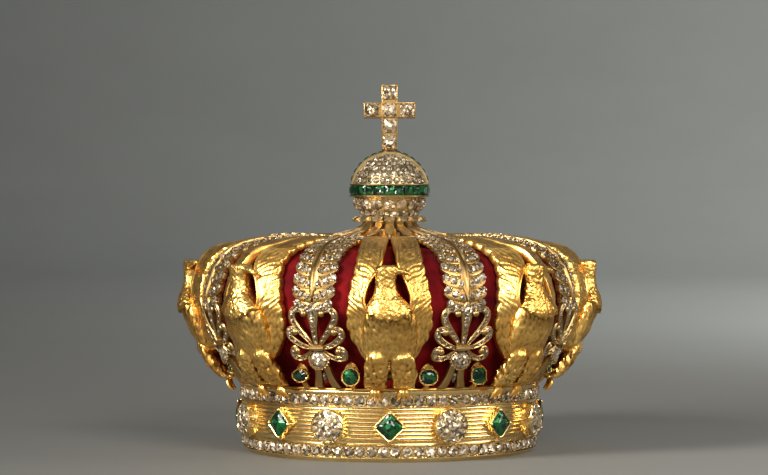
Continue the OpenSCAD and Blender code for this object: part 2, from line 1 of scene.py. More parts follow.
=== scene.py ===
"""The looks of the arched crown: chased gold eagles, palm arches set with diamonds, a ribbed
circlet with emeralds, a velvet cap, and a globe with its cross. Lengths are in millimetres and
are turned to metres where a point is placed. The front is at -Y."""
import math
import random

import bpy
import numpy as np
from mathutils import Matrix, Vector, noise


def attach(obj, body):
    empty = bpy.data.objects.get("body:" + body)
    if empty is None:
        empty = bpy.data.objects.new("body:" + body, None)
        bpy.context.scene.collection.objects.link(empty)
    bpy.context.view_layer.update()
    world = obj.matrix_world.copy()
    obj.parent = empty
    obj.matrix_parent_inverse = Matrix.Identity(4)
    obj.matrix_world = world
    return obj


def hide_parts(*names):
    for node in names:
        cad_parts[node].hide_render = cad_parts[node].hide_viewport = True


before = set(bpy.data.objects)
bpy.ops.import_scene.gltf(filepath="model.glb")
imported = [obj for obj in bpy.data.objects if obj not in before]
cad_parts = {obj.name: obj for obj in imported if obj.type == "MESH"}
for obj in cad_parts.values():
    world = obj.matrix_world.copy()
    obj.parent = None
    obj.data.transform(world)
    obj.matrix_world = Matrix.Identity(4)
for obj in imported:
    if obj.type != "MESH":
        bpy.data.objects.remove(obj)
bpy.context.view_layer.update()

MM = 0.001
TURN = 2 * math.pi
COUNT = 8
SECTOR = TURN / COUNT
dice = random.Random(11)

# The circlet, from the foot upwards
FOOT_R = 50.9
FOOT_TOP = 1.3
LOWER_Z = 1.7
LOWER_H = 3.6
LOWER_FLOOR_R = 51.3
GROUND_R = 51.8
RIBS_Z = 5.9
RIBS_TOP = 18.7
RIB_COUNT = 8
RIB_PROUD = 0.62
UPPER_Z = 19.1
UPPER_H = 3.7
UPPER_FLOOR_R = 52.1
LIP_R = 0.8
CIRCLET_H = 24.5
HEAD_R = 49.4
BAND_MID_Z = 12.3
ROW_COUNT = 80

# The rim and the arches
WIRE_R = 53.18
SEAT_Z = 25.5
SHOULDER_Z = 76.2
BULGE_R = 67.6
COLLAR_R = 11.0
ARCH_FOOT_R = WIRE_R + 1.4
ARCH_T = 2.0
WING_HALF_W = 14.8
PALM_HALF_W = 7.6
STRIP_GAP = 0.7

# The top
COLLAR_TOP = 82.4
GLOBE_Z = 92.38
GLOBE_R = 12.8
HOOP_R = 14.4
HOOP_W = 4.6
BELT_H = 4.6
CROSS_Z = 106.88
CROSS_H = 23.1
ARM_Z = 120.86
CROSS_SPAN = 18.4
LIMB_W = 5.7
CROSS_T = 3.0

# The arches' sections from the rim to the collar: share of the rise, share of the reach, then
# the wing's outer edge, its inner edge and the palm leaf's edge as shares of their half widths
ARCH = np.array([
    (0, 0, 0, 0, 0),
    (0.101, 0.247, 0.20, 0, 0),
    (0.209, 0.531, 0.50, 0, 0),
    (0.327, 0.770, 0.86, 0, 0.30),
    (0.445, 0.923, 1, 0.05, 0.45),
    (0.563, 1, 0.98, 0.49, 0.86),
    (0.681, 0.989, 0.92, 0.445, 1),
    (0.799, 0.951, 0.82, 0.175, 0.98),
    (0.894, 0.875, 0.75, 0.12, 0.95),
    (0.957, 0.751, 0.69, 0.07, 0.90),
    (0.990, 0.601, 0.64, 0.05, 0.84),
    (1, 0.442, 0.58, 0.03, 0.80),
    (0.992, 0.283, 0.50, 0.02, 0.75),
    (0.978, 0.150, 0.42, 0.02, 0.70),
    (0.990, 0.080, 0.35, 0.02, 0.65),
    (1.020, 0.021, 0.30, 0.02, 0.60),
    (1.047, 0, 0.25, 0.02, 0.60)])
BULGE_ROW = 5
LINE_STEPS = 801
UPRIGHT = slice(0, 441)


def smooth(values, t):
    """The values, or rows of values, at t, on a smooth curve through one for each whole t."""
    v = np.asarray(values, float)
    t = np.clip(np.asarray(t, float), 0, len(v) - 1)
    i = np.minimum(t.astype(int), len(v) - 2)
    f = (t - i).reshape(t.shape + (1,) * (v.ndim - 1))
    p0, p1, p2, p3 = (v[np.clip(i + k, 0, len(v) - 1)] for k in (-1, 0, 1, 2))
    return p1 + 0.5 * f * (p2 - p0 + f * (2 * p0 - 5 * p1 + 4 * p2 - p3 + f * (3 * (p1 - p2) + p3 - p0)))


def ramp(x, start, end):
    """From 0 at start to 1 at end, easing in and out."""
    f = np.clip((np.asarray(x, float) - start) / (end - start), 0, 1)
    return f * f * (3 - 2 * f)


def unit(rows):
    return rows / np.linalg.norm(rows, axis=-1, keepdims=True)


def direction(path, t):
    """Which way a path of points runs at t."""
    return unit(smooth(path, t + 0.05) - smooth(path, t - 0.05))


# The arches' middle line: height, radius, way along it from the rim, and its edges
row_reach = np.where(np.arange(len(ARCH)) < BULGE_ROW, ARCH_FOOT_R, COLLAR_R)
fine_t = np.linspace(0, len(ARCH) - 1, LINE_STEPS)
LINE_Z = SEAT_Z + smooth(ARCH[:, 0], fine_t) * (SHOULDER_Z - SEAT_Z)
LINE_R = smooth(row_reach + ARCH[:, 1] * (BULGE_R - row_reach), fine_t)
LINE_S = np.concatenate([[0], np.cumsum(np.hypot(np.diff(LINE_Z), np.diff(LINE_R)))])
slope_r, slope_z = np.gradient(LINE_R, LINE_S), np.gradient(LINE_Z, LINE_S)
slope = np.hypot(slope_r, slope_z)
LINE_NR, LINE_NZ = slope_z / slope, -slope_r / slope
WING_OUT = np.minimum(smooth(ARCH[:, 2], fine_t) * WING_HALF_W, 0.6 * math.pi * LINE_R / COUNT)
WING_IN = np.maximum(smooth(ARCH[:, 3], fine_t) * WING_HALF_W, 0)
PALM_OUT = np.minimum(smooth(ARCH[:, 4], fine_t) * PALM_HALF_W,
                      math.pi * LINE_R / COUNT - WING_OUT - STRIP_GAP)
ARCH_LENGTH = LINE_S[-1]


def along(s, line):
    return np.interp(s, LINE_S, line)


def s_at_row(t):
    return float(np.interp(t, fine_t, LINE_S))


def s_at_z(z):
    """The way along the arch at a height of its upright part."""
    return np.interp(z, LINE_Z[UPRIGHT], LINE_S[UPRIGHT])


def wrapped(r, side, z, at_r, turn=0.0):
    """Points of a radius and height, a way to the side of a turn from the front, in metres."""
    angle = side / at_r + turn
    return np.stack(np.broadcast_arrays(r * np.sin(angle), -r * np.cos(angle), z), -1) * MM


def on_arch(s, side, lift):
    """Points on the arch s along from the rim, lifted off it along its normal."""
    r = along(s, LINE_R)
    return wrapped(r + lift * along(s, LINE_NR), side, along(s, LINE_Z) + lift * along(s, LINE_NZ), r)


def on_face(z, side, lift):
    """A point on the upright face of the arches, lifted level outwards."""
    r = along(s_at_z(z), LINE_R)
    return wrapped(r + lift, side, z, r)


def arch_seat(s, side, lift):
    """The place of a stone on the arch: point, outward way and way along."""
    here, up = on_arch(s, side, lift), on_arch(s, side, lift + 1)
    ahead = on_arch(s + 0.5, side, lift)
    return Vector(here), Vector(up - here).normalized(), Vector(ahead - here).normalized()


def face_seat(z, side, lift):
    """The place of a stone on the upright face."""
    return Vector(on_face(z, side, lift)), *arch_seat(s_at_z(z), side, 0)[1:]


# Places and sizes from millimetres
def moved(x, y, z):
    return Matrix.Translation((x * MM, y * MM, z * MM))


def spun(angle, axis="Z"):
    return Matrix.Rotation(angle, 4, axis)


def sized(w, h=None, d=None):
    """A scale for each way, or one for all three."""
    return Matrix.Diagonal((w * MM, (h or w) * MM, (d or w) * MM, 1))


def facing_out(turn, r, z):
    """Where a piece made face up at the origin sits on the crown's side, facing outwards."""
    return spun(turn) @ (moved(0, -r, z) @ spun(math.pi / 2, "X"))


def seated(seat, size, spin=0.0):
    """Where a stone made face up at the origin sits, from its seat and its size."""
    point, out, ahead = seat
    side = ahead.cross(out).normalized()
    basis = Matrix((side, out.cross(side), out)).transposed().to_4x4()
    return Matrix.Translation(point) @ basis @ spun(spin) @ sized(*size)


def spin_of():
    """A stone's own turn in its setting."""
    return dice.uniform(0, 3)


# Working with Blender's tools
def clear():
    if bpy.context.mode != "OBJECT":
        bpy.ops.object.mode_set(mode="OBJECT")
    bpy.ops.object.select_all(action="DESELECT")


def pick(*pieces):
    clear()
    for piece in pieces:
        piece.select_set(True)
    bpy.context.view_layer.objects.active = pieces[0]


def start(primitive, name, **settings):
    """A new primitive with its name."""
    clear()
    primitive(**settings)
    bpy.context.object.name = name
    return bpy.context.object


def edit(piece, kind="VERT", action="SELECT"):
    pick(piece)
    bpy.ops.object.mode_set(mode="EDIT")
    bpy.ops.mesh.select_mode(type=kind)
    bpy.ops.mesh.select_all(action=action)


def choose_edges(piece, test):
    """Selects the edges whose two ends pass the test, in edit mode."""
    edit(piece, "EDGE", "DESELECT")
    bpy.ops.object.mode_set(mode="OBJECT")
    points = piece.data.vertices
    for line in piece.data.edges:
        line.select = test(points[line.vertices[0]].co, points[line.vertices[1]].co)
    bpy.ops.object.mode_set(mode="EDIT")


def choose_faces(piece, test):
    """Selects the faces whose middle and normal pass the test, in edit mode."""
    edit(piece, "FACE", "DESELECT")
    bpy.ops.object.mode_set(mode="OBJECT")
    for face in piece.data.polygons:
        face.select = test(face.center, face.normal)
    bpy.ops.object.mode_set(mode="EDIT")


def face_up(middle, way):
    return way.z > 0.9


def inset_steps(steps, unit=MM):
    """Insets the selected face and lifts it, once for each inset and rise."""
    for inset, rise in steps:
        bpy.ops.mesh.inset(thickness=inset * unit)
        bpy.ops.transform.translate(value=(0, 0, rise * unit))


def points_of(piece, kind="co"):
    """The points of a piece, or with "normal" the way that each one faces."""
    flat = np.empty(3 * len(piece.data.vertices))
    piece.data.vertices.foreach_get(kind, flat)
    return flat.reshape(-1, 3)


def set_points(piece, points):
    piece.data.vertices.foreach_set("co", np.asarray(points, float).ravel())
    piece.data.update()


def mark(piece, name, values):
    """Stores one number for each point, which the materials read."""
    made = piece.data.attributes.get(name) or piece.data.attributes.new(name, "FLOAT", "POINT")
    made.data.foreach_set("value", np.broadcast_to(values, len(piece.data.vertices)).astype(np.float32))


def outward(piece):
    edit(piece)
    bpy.ops.mesh.normals_make_consistent(inside=False)
    clear()
    return piece


def soften(piece, degrees=40):
    pick(piece)
    bpy.ops.object.shade_smooth_by_angle(angle=math.radians(degrees))


def finish_with(piece, kind, **settings):
    """Adds a modifier with its settings and applies it."""
    pick(piece)
    bpy.ops.object.modifier_add(type=kind)
    modifier = piece.modifiers[-1]
    for key, value in settings.items():
        setattr(modifier, key, value)
    bpy.ops.object.modifier_apply(modifier=modifier.name)


def twin(piece, name, matrix):
    """A copy with its own mesh, moved by a matrix."""
    made = piece.copy()
    made.data = piece.data.copy()
    made.name = name
    bpy.context.scene.collection.objects.link(made)
    made.data.transform(matrix)
    return made


def joined(name, pieces):
    pick(*pieces)
    if len(pieces) > 1:
        bpy.ops.object.join()
    made = bpy.context.object
    made.name = name
    clear()
    return made


def drop(*pieces):
    for piece in pieces:
        bpy.data.objects.remove(piece)


# Shapes that many pieces start from
def plate(name, across, length, place, top, bottom, hollow=None):
    """A closed plate: a fine face of cells and a back of one strip. place puts a point (u, v) at
    a lift, where u runs from -1 to 1 across and v from 0 to 1 along. top and bottom give the
    lift of the face and of the back, and hollow says how dark a point is."""
    piece = start(bpy.ops.mesh.primitive_grid_add, name, x_subdivisions=across, y_subdivisions=length, size=2)
    edit(piece, "EDGE")
    bpy.ops.mesh.region_to_loop()
    bpy.ops.mesh.extrude_region_move(TRANSFORM_OT_translate={"value": (0, 0, -1)})
    choose_edges(piece, lambda a, b: a.z < -0.5 and b.z < -0.5 and abs(a.x + b.x) > 1.999)
    bpy.ops.mesh.bridge_edge_loops()
    bpy.ops.mesh.select_all(action="DESELECT")
    bpy.ops.mesh.select_non_manifold()
    bpy.ops.mesh.edge_face_add()
    clear()
    points = points_of(piece)
    u, v = points[:, 0], (points[:, 1] + 1) / 2
    under = bottom(u, v) if callable(bottom) else bottom
    set_points(piece, place(u, v, np.where(points[:, 2] < -0.5, under, top(u, v))))
    outward(piece)
    if hollow:
        mark(piece, "hollow", hollow(u, v))
    return piece


def column(name, sides, rings, place):
    """A closed column whose points go where place says for an angle, a share of the height and
    a share of the radius."""
    piece = start(bpy.ops.mesh.primitive_cylinder_add, name,
                  vertices=sides, radius=1, depth=1, end_fill_type="TRIFAN")
    choose_edges(piece, lambda a, b: abs(a.z - b.z) > 0.5)
    bpy.ops.mesh.subdivide(number_cuts=rings - 1)
    clear()
    points = points_of(piece)
    angle = np.arctan2(points[:, 1], points[:, 0])
    set_points(piece, place(angle, points[:, 2] + 0.5, np.hypot(points[:, 0], points[:, 1])))
    return outward(piece)


def rod(name, path, widths, sides=8, rings=8, flat=1.0, up=(0, 0, 1)):
    """A column bent along a path of points, with a radius for each of them."""
    def place(angle, share, radial):
        t = share * (len(path) - 1)
        way = direction(path, t)
        side = unit(np.cross(way, up))
        width = (smooth(widths, t) * radial)[:, None]
        return (smooth(path, t) + side * width * np.cos(angle)[:, None]
                + np.cross(side, way) * width * flat * np.sin(angle)[:, None]) * MM

    return column(name, sides, rings, place)


def ring_shape(angle, w, h, square):
    """A point of an oval or squarish outline."""
    c, s = np.cos(angle), np.sin(angle)
    return w * np.sign(c) * np.abs(c) ** (2 / square), h * np.sign(s) * np.abs(s) ** (2 / square)


def oval_piece(name, sides, profile, w, h, square):
    """A cup or stone round an outline, made face up. A row of the profile: share of the
    outline and height."""
    def place(angle, share, radial):
        t = share * (len(profile) - 1)
        grow, rise = (np.interp(t, range(len(profile)), values) for values in zip(*profile))
        x, y = ring_shape(angle, w, h, square)
        return np.stack([x * grow * radial, y * grow * radial, rise], -1) * MM

    return column(name, sides, len(profile) - 1, place)


def turned(name, outline, steps):
    """A ring turned from a closed outline of radius and height."""
    piece = start(bpy.ops.mesh.primitive_circle_add, name, vertices=len(outline), fill_type="NOTHING")
    set_points(piece, [(0, -r * MM, z * MM) for r, z in outline])
    edit(piece)
    bpy.ops.mesh.spin(steps=steps, angle=TURN, center=(0, 0, 0), axis=(0, 0, 1), use_auto_merge=True)
    bpy.ops.mesh.select_all(action="SELECT")
    bpy.ops.mesh.remove_doubles(threshold=0.00001)
    return outward(piece)


def bead(name, level):
    """A round bead of radius 1."""
    piece = start(bpy.ops.mesh.primitive_ico_sphere_add, name, subdivisions=level, radius=1)
    mark(piece, "tint", 0.5)
    soften(piece, 180)
    return piece


def brilliant(name, sides=8, table=0.56, height=0.42):
    """A round cut stone of radius 1, on its girdle: a table inset and turned half a side."""
    piece = start(bpy.ops.mesh.primitive_cylinder_add, name, vertices=sides, radius=1, depth=2 * height)
    choose_faces(piece, face_up)
    bpy.ops.mesh.inset(thickness=0.2)
    clear()
    x, y, z = points_of(piece).T
    inner = np.hypot(x, y) < 0.95
    turn = np.arctan2(y, x) + np.where(inner, math.pi / sides, 0)
    reach = np.where(inner, table, 1.0)
    level = np.where(inner, height, np.where(z > 0, 0.12, -0.25))
    set_points(piece, np.stack([reach * np.cos(turn), reach * np.sin(turn), level], -1))
    choose_faces(piece, lambda middle, way: middle.z > 0.1 and way.z < 0.98)
    bpy.ops.mesh.quads_convert_to_tris(quad_method="FIXED")
    clear()
    return piece


def step_cut(name, corner, steps):
    """A step-cut stone two units across, on its girdle. A row for each step: inset and rise. Its
    corners are cut off all the way up."""
    piece = start(bpy.ops.mesh.primitive_cube_add, name, size=2)
    points = points_of(piece)
    points[:, 2] = np.where(points[:, 2] > 0, 0.12, -0.3)
    set_points(piece, points)
    choose_faces(piece, face_up)
    inset_steps(steps, 1)
    choose_edges(piece, lambda a, b: abs(a.z - b.z) > 0.01)
    bpy.ops.mesh.bevel(offset=corner, segments=1)
    clear()
    return piece


def field(name, seed, places, tints=None):
    """Copies of a stone or bead at their places, as one piece. Each stone keeps a tint."""
    copies = []
    for number, place in enumerate(places):
        copies.append(twin(seed, f"{name}_{number}", place))
        mark(copies[-1], "tint", dice.random() if tints is None else tints[number])
    return joined(name, copies)


# Node groups and materials
class Tree:
    """Adds and links the nodes of a material or a group. ends are the sockets it ends in."""

    def __init__(self, tree, ends):
        self.tree, self.ends = tree, ends

    def add(self, kind, values=None, **settings):
        made = self.tree.nodes.new(kind)
        for key, value in settings.items():
            setattr(made, key, value)
        for key, value in (values or {}).items():
            self.put(value, made.inputs[key])
        return made

    def put(self, value, socket):
        if isinstance(value, bpy.types.NodeSocket):
            self.tree.links.new(value, socket)
        else:
            socket.default_value = value

    def give(self, **values):
        """Values or links for the sockets that the tree ends in."""
        for label, value in values.items():
            self.put(value, self.ends[label.replace("_", " ")])

    def math(self, operation, a, b=0.5, clamp=False):
        return self.add("ShaderNodeMath", {0: a, 1: b}, operation=operation, use_clamp=clamp).outputs[0]

    def plus(self, a, b, clamp=False):
        return self.math("ADD", a, b, clamp)

    def times(self, a, b):
        return self.math("MULTIPLY", a, b)

    def vector(self, operation, a, b=(0, 0, 0)):
        return self.add("ShaderNodeVectorMath", {0: a, 1: b}, operation=operation).outputs[0]

    def mix(self, factor, a, b):
        return self.add("ShaderNodeMix", {0: factor, 6: a, 7: b}, data_type="RGBA").outputs[2]

    def span(self, value, low, high, to_low=0.0, to_high=1.0):
        return self.add("ShaderNodeMapRange", {0: value, 1: low, 2: high, 3: to_low, 4: to_high}).outputs[0]

    def noise(self, place, scale, detail=3.0, rough=0.55, output=0):
        values = {"Vector": place, "Scale": scale, "Detail": detail, "Roughness": rough}
        return self.add("ShaderNodeTexNoise", values).outputs[output]

    def cells(self, place, scale, **settings):
        return self.add("ShaderNodeTexVoronoi", {"Vector": place, "Scale": scale}, **settings).outputs

    def place(self):
        return self.add("ShaderNodeTexCoord").outputs["Object"]

    def stored(self, label):
        return self.add("ShaderNodeAttribute", attribute_name=label).outputs["Fac"]

    def use(self, which, **values):
        return self.add("ShaderNodeGroup", values, node_tree=which).outputs

    def bump(self, height, strength, depth):
        values = {"Strength": strength, "Distance": depth, "Height": height}
        return self.add("ShaderNodeBump", values).outputs[0]


def group(name, inputs, outputs):
    """A shader node group. An input or output is a colour or vector, or a number that it starts
    from."""
    made = bpy.data.node_groups.new(name, "ShaderNodeTree")
    for way, sockets in (("INPUT", inputs), ("OUTPUT", outputs)):
        for label, kind in sockets.items():
            worded = isinstance(kind, str)
            socket = made.interface.new_socket(
                label, in_out=way, socket_type="NodeSocket" + (kind if worded else "Float"))
            if not worded:
                socket.default_value = kind
    given = made.nodes.new("NodeGroupInput").outputs
    return Tree(made, made.nodes.new("NodeGroupOutput").inputs), given


def make_wear_and_shade():
    """Colour and roughness of metal with wear: warmth drifts over it, rubbed places are bright,
    and hollows are dark with patina and with painted shade."""
    tree, given = group("metal_wear_and_shade", {"Bright": "Color", "Warm": "Color", "Dark": "Color", "Scale": 60.0,
                                       "Hollow": 0.0, "Polish": 0.2, "Matt": 0.4},
                        {"Color": "Color", "Roughness": 0.0})
    place = tree.place()
    drift = tree.span(tree.noise(place, given["Scale"], 4.0, 0.6), 0.35, 0.68)
    smudge = tree.span(tree.noise(place, tree.times(given["Scale"], 5.5), 3.0, 0.6), 0.35, 0.7)
    tone = tree.mix(drift, given["Bright"], given["Warm"])
    rough = tree.plus(tree.times(smudge, 0.55), tree.times(given["Hollow"], 0.5), True)
    reach = tree.math("SUBTRACT", given["Matt"], given["Polish"])
    tree.give(Color=tree.mix(given["Hollow"], tone, given["Dark"]),
              Roughness=tree.plus(given["Polish"], tree.times(rough, reach)))
    return tree.tree


def make_chasing():
    """Height of a chased surface: punched pits between soft hills, and fine tool marks."""
    tree, given = group("chasing", {"Pits": 900.0, "Marks": 400.0, "Strength": 1.0}, {"Height": 0.0})
    place = tree.place()
    sway = tree.vector("MULTIPLY", tree.noise(place, 300.0, 2.0, output=1), (0.0006,) * 3)
    cells = tree.cells(tree.vector("ADD", place, sway), given["Pits"], feature="SMOOTH_F1")
    pits = tree.math("SUBTRACT", 0.6, cells["Distance"])
    both = tree.plus(pits, tree.times(tree.noise(place, given["Marks"], 4.0, 0.65), 0.6))
    tree.give(Height=tree.times(both, given["Strength"]))
    return tree.tree


def make_facets():
    """The normal, shade and sparks of small facets that each look their own way. Shade gives each
    facet its painted reflection, dark or light, and Spark picks facets for a painted glint.
    """
    tree, given = group("facets", {"Scale": 900.0, "Tilt": 0.5},
                        {"Normal": "Vector", "Shade": 0.0, "Spark": 0.0})
    cells = tree.cells(tree.place(), given["Scale"])["Color"]
    away = tree.vector("SUBTRACT", cells, (0.5, 0.5, 0.5))
    lean = tree.add("ShaderNodeVectorMath", {0: away, "Scale": given["Tilt"]}, operation="SCALE").outputs[0]
    leaning = tree.vector("ADD", tree.add("ShaderNodeNewGeometry").outputs["Normal"], lean)
    parts = tree.add("ShaderNodeSeparateColor", {0: cells}).outputs
    tree.give(Normal=tree.vector("NORMALIZE", leaning), Shade=parts[0], Spark=tree.span(parts[1], 0.84, 0.9))
    return tree.tree


def make_pile():
    """Colour and height of velvet: soft patches in the nap over a fine pile, and painted light from
    Lit, which makes the patches brighter.
    """
    tree, given = group("velvet_pile", {"Deep": "Color", "Bright": "Color", "Scale": 40.0, "Lit": 0.0},
                        {"Color": "Color", "Height": 0.0})
    place = tree.place()
    nap_and_light = tree.span(tree.noise(place, given["Scale"], 3.0, 0.55), 0.34, 0.68)
    # Lit adds painted light to the patches
    nap_and_light = tree.plus(nap_and_light, given["Lit"], True)
    pile = tree.noise(place, 2600.0, 2.0, 0.6)
    patches = tree.mix(nap_and_light, given["Deep"], given["Bright"])
    tree.give(Color=tree.mix(tree.times(pile, 0.35), patches, given["Deep"]),
              Height=tree.plus(tree.times(pile, 0.5), tree.times(nap_and_light, 0.8)))
    return tree.tree


WEAR_AND_SHADE, CHASING, FACETS, PILE = make_wear_and_shade(), make_chasing(), make_facets(), make_pile()


def material(name, **constants):
    """A new material, and the tree that ends in its Principled shader."""
    made = bpy.data.materials.new(name)
    made.use_nodes = True
    tree = Tree(made.node_tree, made.node_tree.nodes["Principled BSDF"].inputs)
    tree.give(**constants)
    return made, tree


def gold(name, bright, warm, polish, matt, strength, marks=350.0):
    """Cast and chased gold. hollow and chased are stored at the points of a piece: hollow darkens
    the gold with patina and with painted shade.
    """
    made, tree = material(name, Metallic=1.0)
    worn_and_shaded = tree.use(WEAR_AND_SHADE, Bright=(*bright, 1), Warm=(*warm, 1), Dark=(*UMBER, 1), Scale=70.0,
                    Hollow=tree.stored("hollow"), Polish=polish, Matt=matt)
    worked = tree.use(CHASING, Pits=900.0, Marks=marks, Strength=tree.plus(tree.stored("chased"), strength))
    tree.give(Base_Color=worn_and_shaded["Color"], Roughness=worn_and_shaded["Roughness"],
              Normal=tree.bump(worked["Height"], 1.0, 0.0004))
    return made


def diamond_material(name, light, shade, scale):
    made, tree = material(name, IOR=1.8, Coat_Weight=0.1, Coat_Roughness=0.1)
    tint = tree.stored("tint")
    cut = tree.use(FACETS, Scale=scale, Tilt=0.65)
    # Each facet's colour, dark or light, is a painted reflection, and Spark adds painted glints
    depth = tree.plus(tree.times(cut["Shade"], 0.8), tree.times(tint, 0.2))
    body = tree.mix(tree.span(depth, 0.25, 0.75), (*shade, 1), (*light, 1))
    tree.give(Base_Color=tree.mix(cut["Spark"], body, SPARK), Normal=cut["Normal"],
              Metallic=tree.span(cut["Shade"], 0.0, 1.0, 0.75, 0.3),
              Roughness=tree.span(tint, 0.0, 1.0, 0.20, 0.36))
    return made


def emerald_material(name, deep, bright, scale):
    made, tree = material(name, IOR=1.6, Coat_Weight=0.08, Coat_Roughness=0.1, Coat_IOR=1.5,
                          Specular_IOR_Level=0.3)
    cut = tree.use(FACETS, Scale=scale, Tilt=0.35)
    # Some facets get a brighter green as painted glints, more on some stones than on others
    glow = tree.times(tree.span(cut["Shade"], 0.35, 0.9), tree.span(tree.stored("tint"), 0.0, 1.0, 0.4, 1.0))
    tree.give(Base_Color=tree.mix(glow, (*deep, 1), (*bright, 1)), Normal=cut["Normal"],
              Metallic=tree.span(glow, 0.4, 1.0, 0.0, 0.8),
              Roughness=tree.span(cut["Shade"], 0.0, 1.0, 0.05, 0.2))
    return made


def velvet_material():
    made, tree = material("crimson_velvet", Sheen_Weight=0.14, Sheen_Roughness=0.35,
                          Sheen_Tint=(0.9, 0.05, 0.03, 1), Roughness=0.8, Specular_IOR_Level=0.08)
    pile = tree.use(PILE, Deep=(0.032, 0.0, 0.002, 1), Bright=(0.185, 0.004, 0.005, 1), Scale=60.0,
                    Lit=tree.stored("lit"))
    tree.give(Base_Color=pile["Color"], Normal=tree.bump(pile["Height"], 0.5, 0.0006))
    return made


# Colour that hollows darken to: partly patina, partly painted shade
UMBER = (0.08, 0.038, 0.008)
# Colour of the painted glints on the diamonds' facets
SPARK = (0.95, 0.85, 0.67, 1)
CAST_GOLD = gold("cast_gold", (0.97, 0.62, 0.18), (0.78, 0.41, 0.09), 0.28, 0.48, 0.05)
REEDED_GOLD = gold("reeded_gold", (0.88, 0.67, 0.30), (0.76, 0.51, 0.20), 0.20, 0.36, 0.015, marks=600.0)
RIM_GOLD = gold("rim_gold", (0.72, 0.45, 0.13), (0.56, 0.32, 0.085), 0.34, 0.50, 0.04)
# Partly the gold's own pinkish tone, and darker than the eagles' gold as painted shade, set for the palm
# arches under the key lamp; the grains and the cross share it
SETTING_GOLD = gold("setting_gold", (0.50, 0.33, 0.13), (0.38, 0.235, 0.082), 0.34, 0.48, 0.08)
GLOBE_GOLD = gold("globe_gold", (0.46, 0.36, 0.18), (0.36, 0.27, 0.12), 0.32, 0.48, 0.06)
COLLAR_GOLD = gold("collar_gold", (0.64, 0.54, 0.35), (0.52, 0.42, 0.25), 0.32, 0.48, 0.06)
DIAMOND = diamond_material("cut_diamond", (0.34, 0.26, 0.165), (0.12, 0.092, 0.058), 1150.0)
# A darker copy of the cut diamond: painted shade for the small stones of the palm arches and the globe, which
# face the key lamp
SHADED_PAVE = diamond_material("shaded_pave_diamond", (0.22, 0.168, 0.108), (0.09, 0.067, 0.040), 1500.0)
EMERALD = emerald_material("cut_emerald", (0.002, 0.012, 0.005), (0.012, 0.12, 0.032), 620.0)
DARK_EMERALD = emerald_material("dark_emerald", (0.0, 0.007, 0.004), (0.004, 0.05, 0.022), 560.0)
VELVET = velvet_material()


def dress(piece, look, slot, *nodes):
    """Gives a finished piece its material, its place on the crown and the nodes it stands for."""
    piece.data.materials.clear()
    piece.data.materials.append(look)
    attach(piece, "root")
    if nodes:
        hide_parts(*nodes)


# Seeds that are modelled once and copied
ROUND_CUT = brilliant("round_cut")
SMALL_CUT = brilliant("small_cut", sides=6, table=0.5, height=0.45)
CUSHION_CUT = step_cut("cushion_cut", 0.3, [(0.3, 0.3), (0.22, 0.14)])
SQUARE_CUT = step_cut("square_cut", 0.15, [(0.2, 0.16), (0.2, 0.12), (0.22, 0.08)])
GRAIN = bead("grain", 1)
BALL = bead("ball", 2)
GRAIN_R = 0.42


# Circlet
def channel(floor_r, wall_z, z, height, brow):
    """The section of a channel for a row of stones, with its lips."""
    top = z + height + 0.2
    lip = floor_r + LIP_R
    return [(lip, wall_z + 0.05), (lip, z), (floor_r, z + 0.1),
            (floor_r, top - 0.1), (lip, top), (lip + brow, top + 0.3)]


def circlet_outline():
    """Radius and height round the circlet's section, from the inside of the foot outwards."""
    cove_top = RIBS_Z + 0.12 * (RIBS_TOP - RIBS_Z)
    pitch = (RIBS_TOP - cove_top) / RIB_COUNT
    points = [(HEAD_R, 0), (FOOT_R - 0.2, 0), (FOOT_R, 0.2),
              (FOOT_R, FOOT_TOP - 0.3), (FOOT_R + 0.25, FOOT_TOP),
              *channel(LOWER_FLOOR_R, FOOT_TOP, LOWER_Z, LOWER_H, 0.1),
              (GROUND_R + 0.15, RIBS_Z), (GROUND_R - 0.1, RIBS_Z + 0.5), (GROUND_R, cove_top - 0.15)]
    for rib in range(RIB_COUNT):
        for step in range(7):
            a = math.pi * (step + 0.5) / 7
            points.append((GROUND_R - 0.05 + RIB_PROUD * math.sin(a) ** 0.8,
                           cove_top + (rib + 0.5 - 0.5 * math.cos(a)) * pitch))
    edge = UPPER_FLOOR_R + LIP_R + 0.35
    return points + [*channel(UPPER_FLOOR_R, RIBS_TOP, UPPER_Z, UPPER_H, 0.15),
                     (edge, UPPER_Z + UPPER_H + 0.8), (edge, CIRCLET_H - 0.15), (edge - 0.15, CIRCLET_H),
                     (HEAD_R + 0.3, CIRCLET_H), (HEAD_R, CIRCLET_H - 0.3)]


# Half width and height of the square collets, at the face and at the foot
SQUARE_FACE = (3.95, 2.3)
SQUARE_FOOT = (4.2, -1.1)
# Their beads: way from the middle, height and radius
SQUARE_BEADS = ((4.686, 2.35, 0.62), (5.25, 1.2, 0.5))
CUP_R = 6.0
CUP_H = 4.8
CUP_FOOT = -1.2
CUP_STEPS = ((0.35, 0.25), (0.3, -0.4), (0.5, 0.2), (1.2, 0.35), (1.4, 0.25), (1.2, 0.1))


def round_it(count, reach, rise, first=0.0):
    """Places at equal steps on a circle."""
    angles = [first + TURN * i / count for i in range(count)]
    return [moved(reach * math.cos(a), reach * math.sin(a), rise) for a in angles]


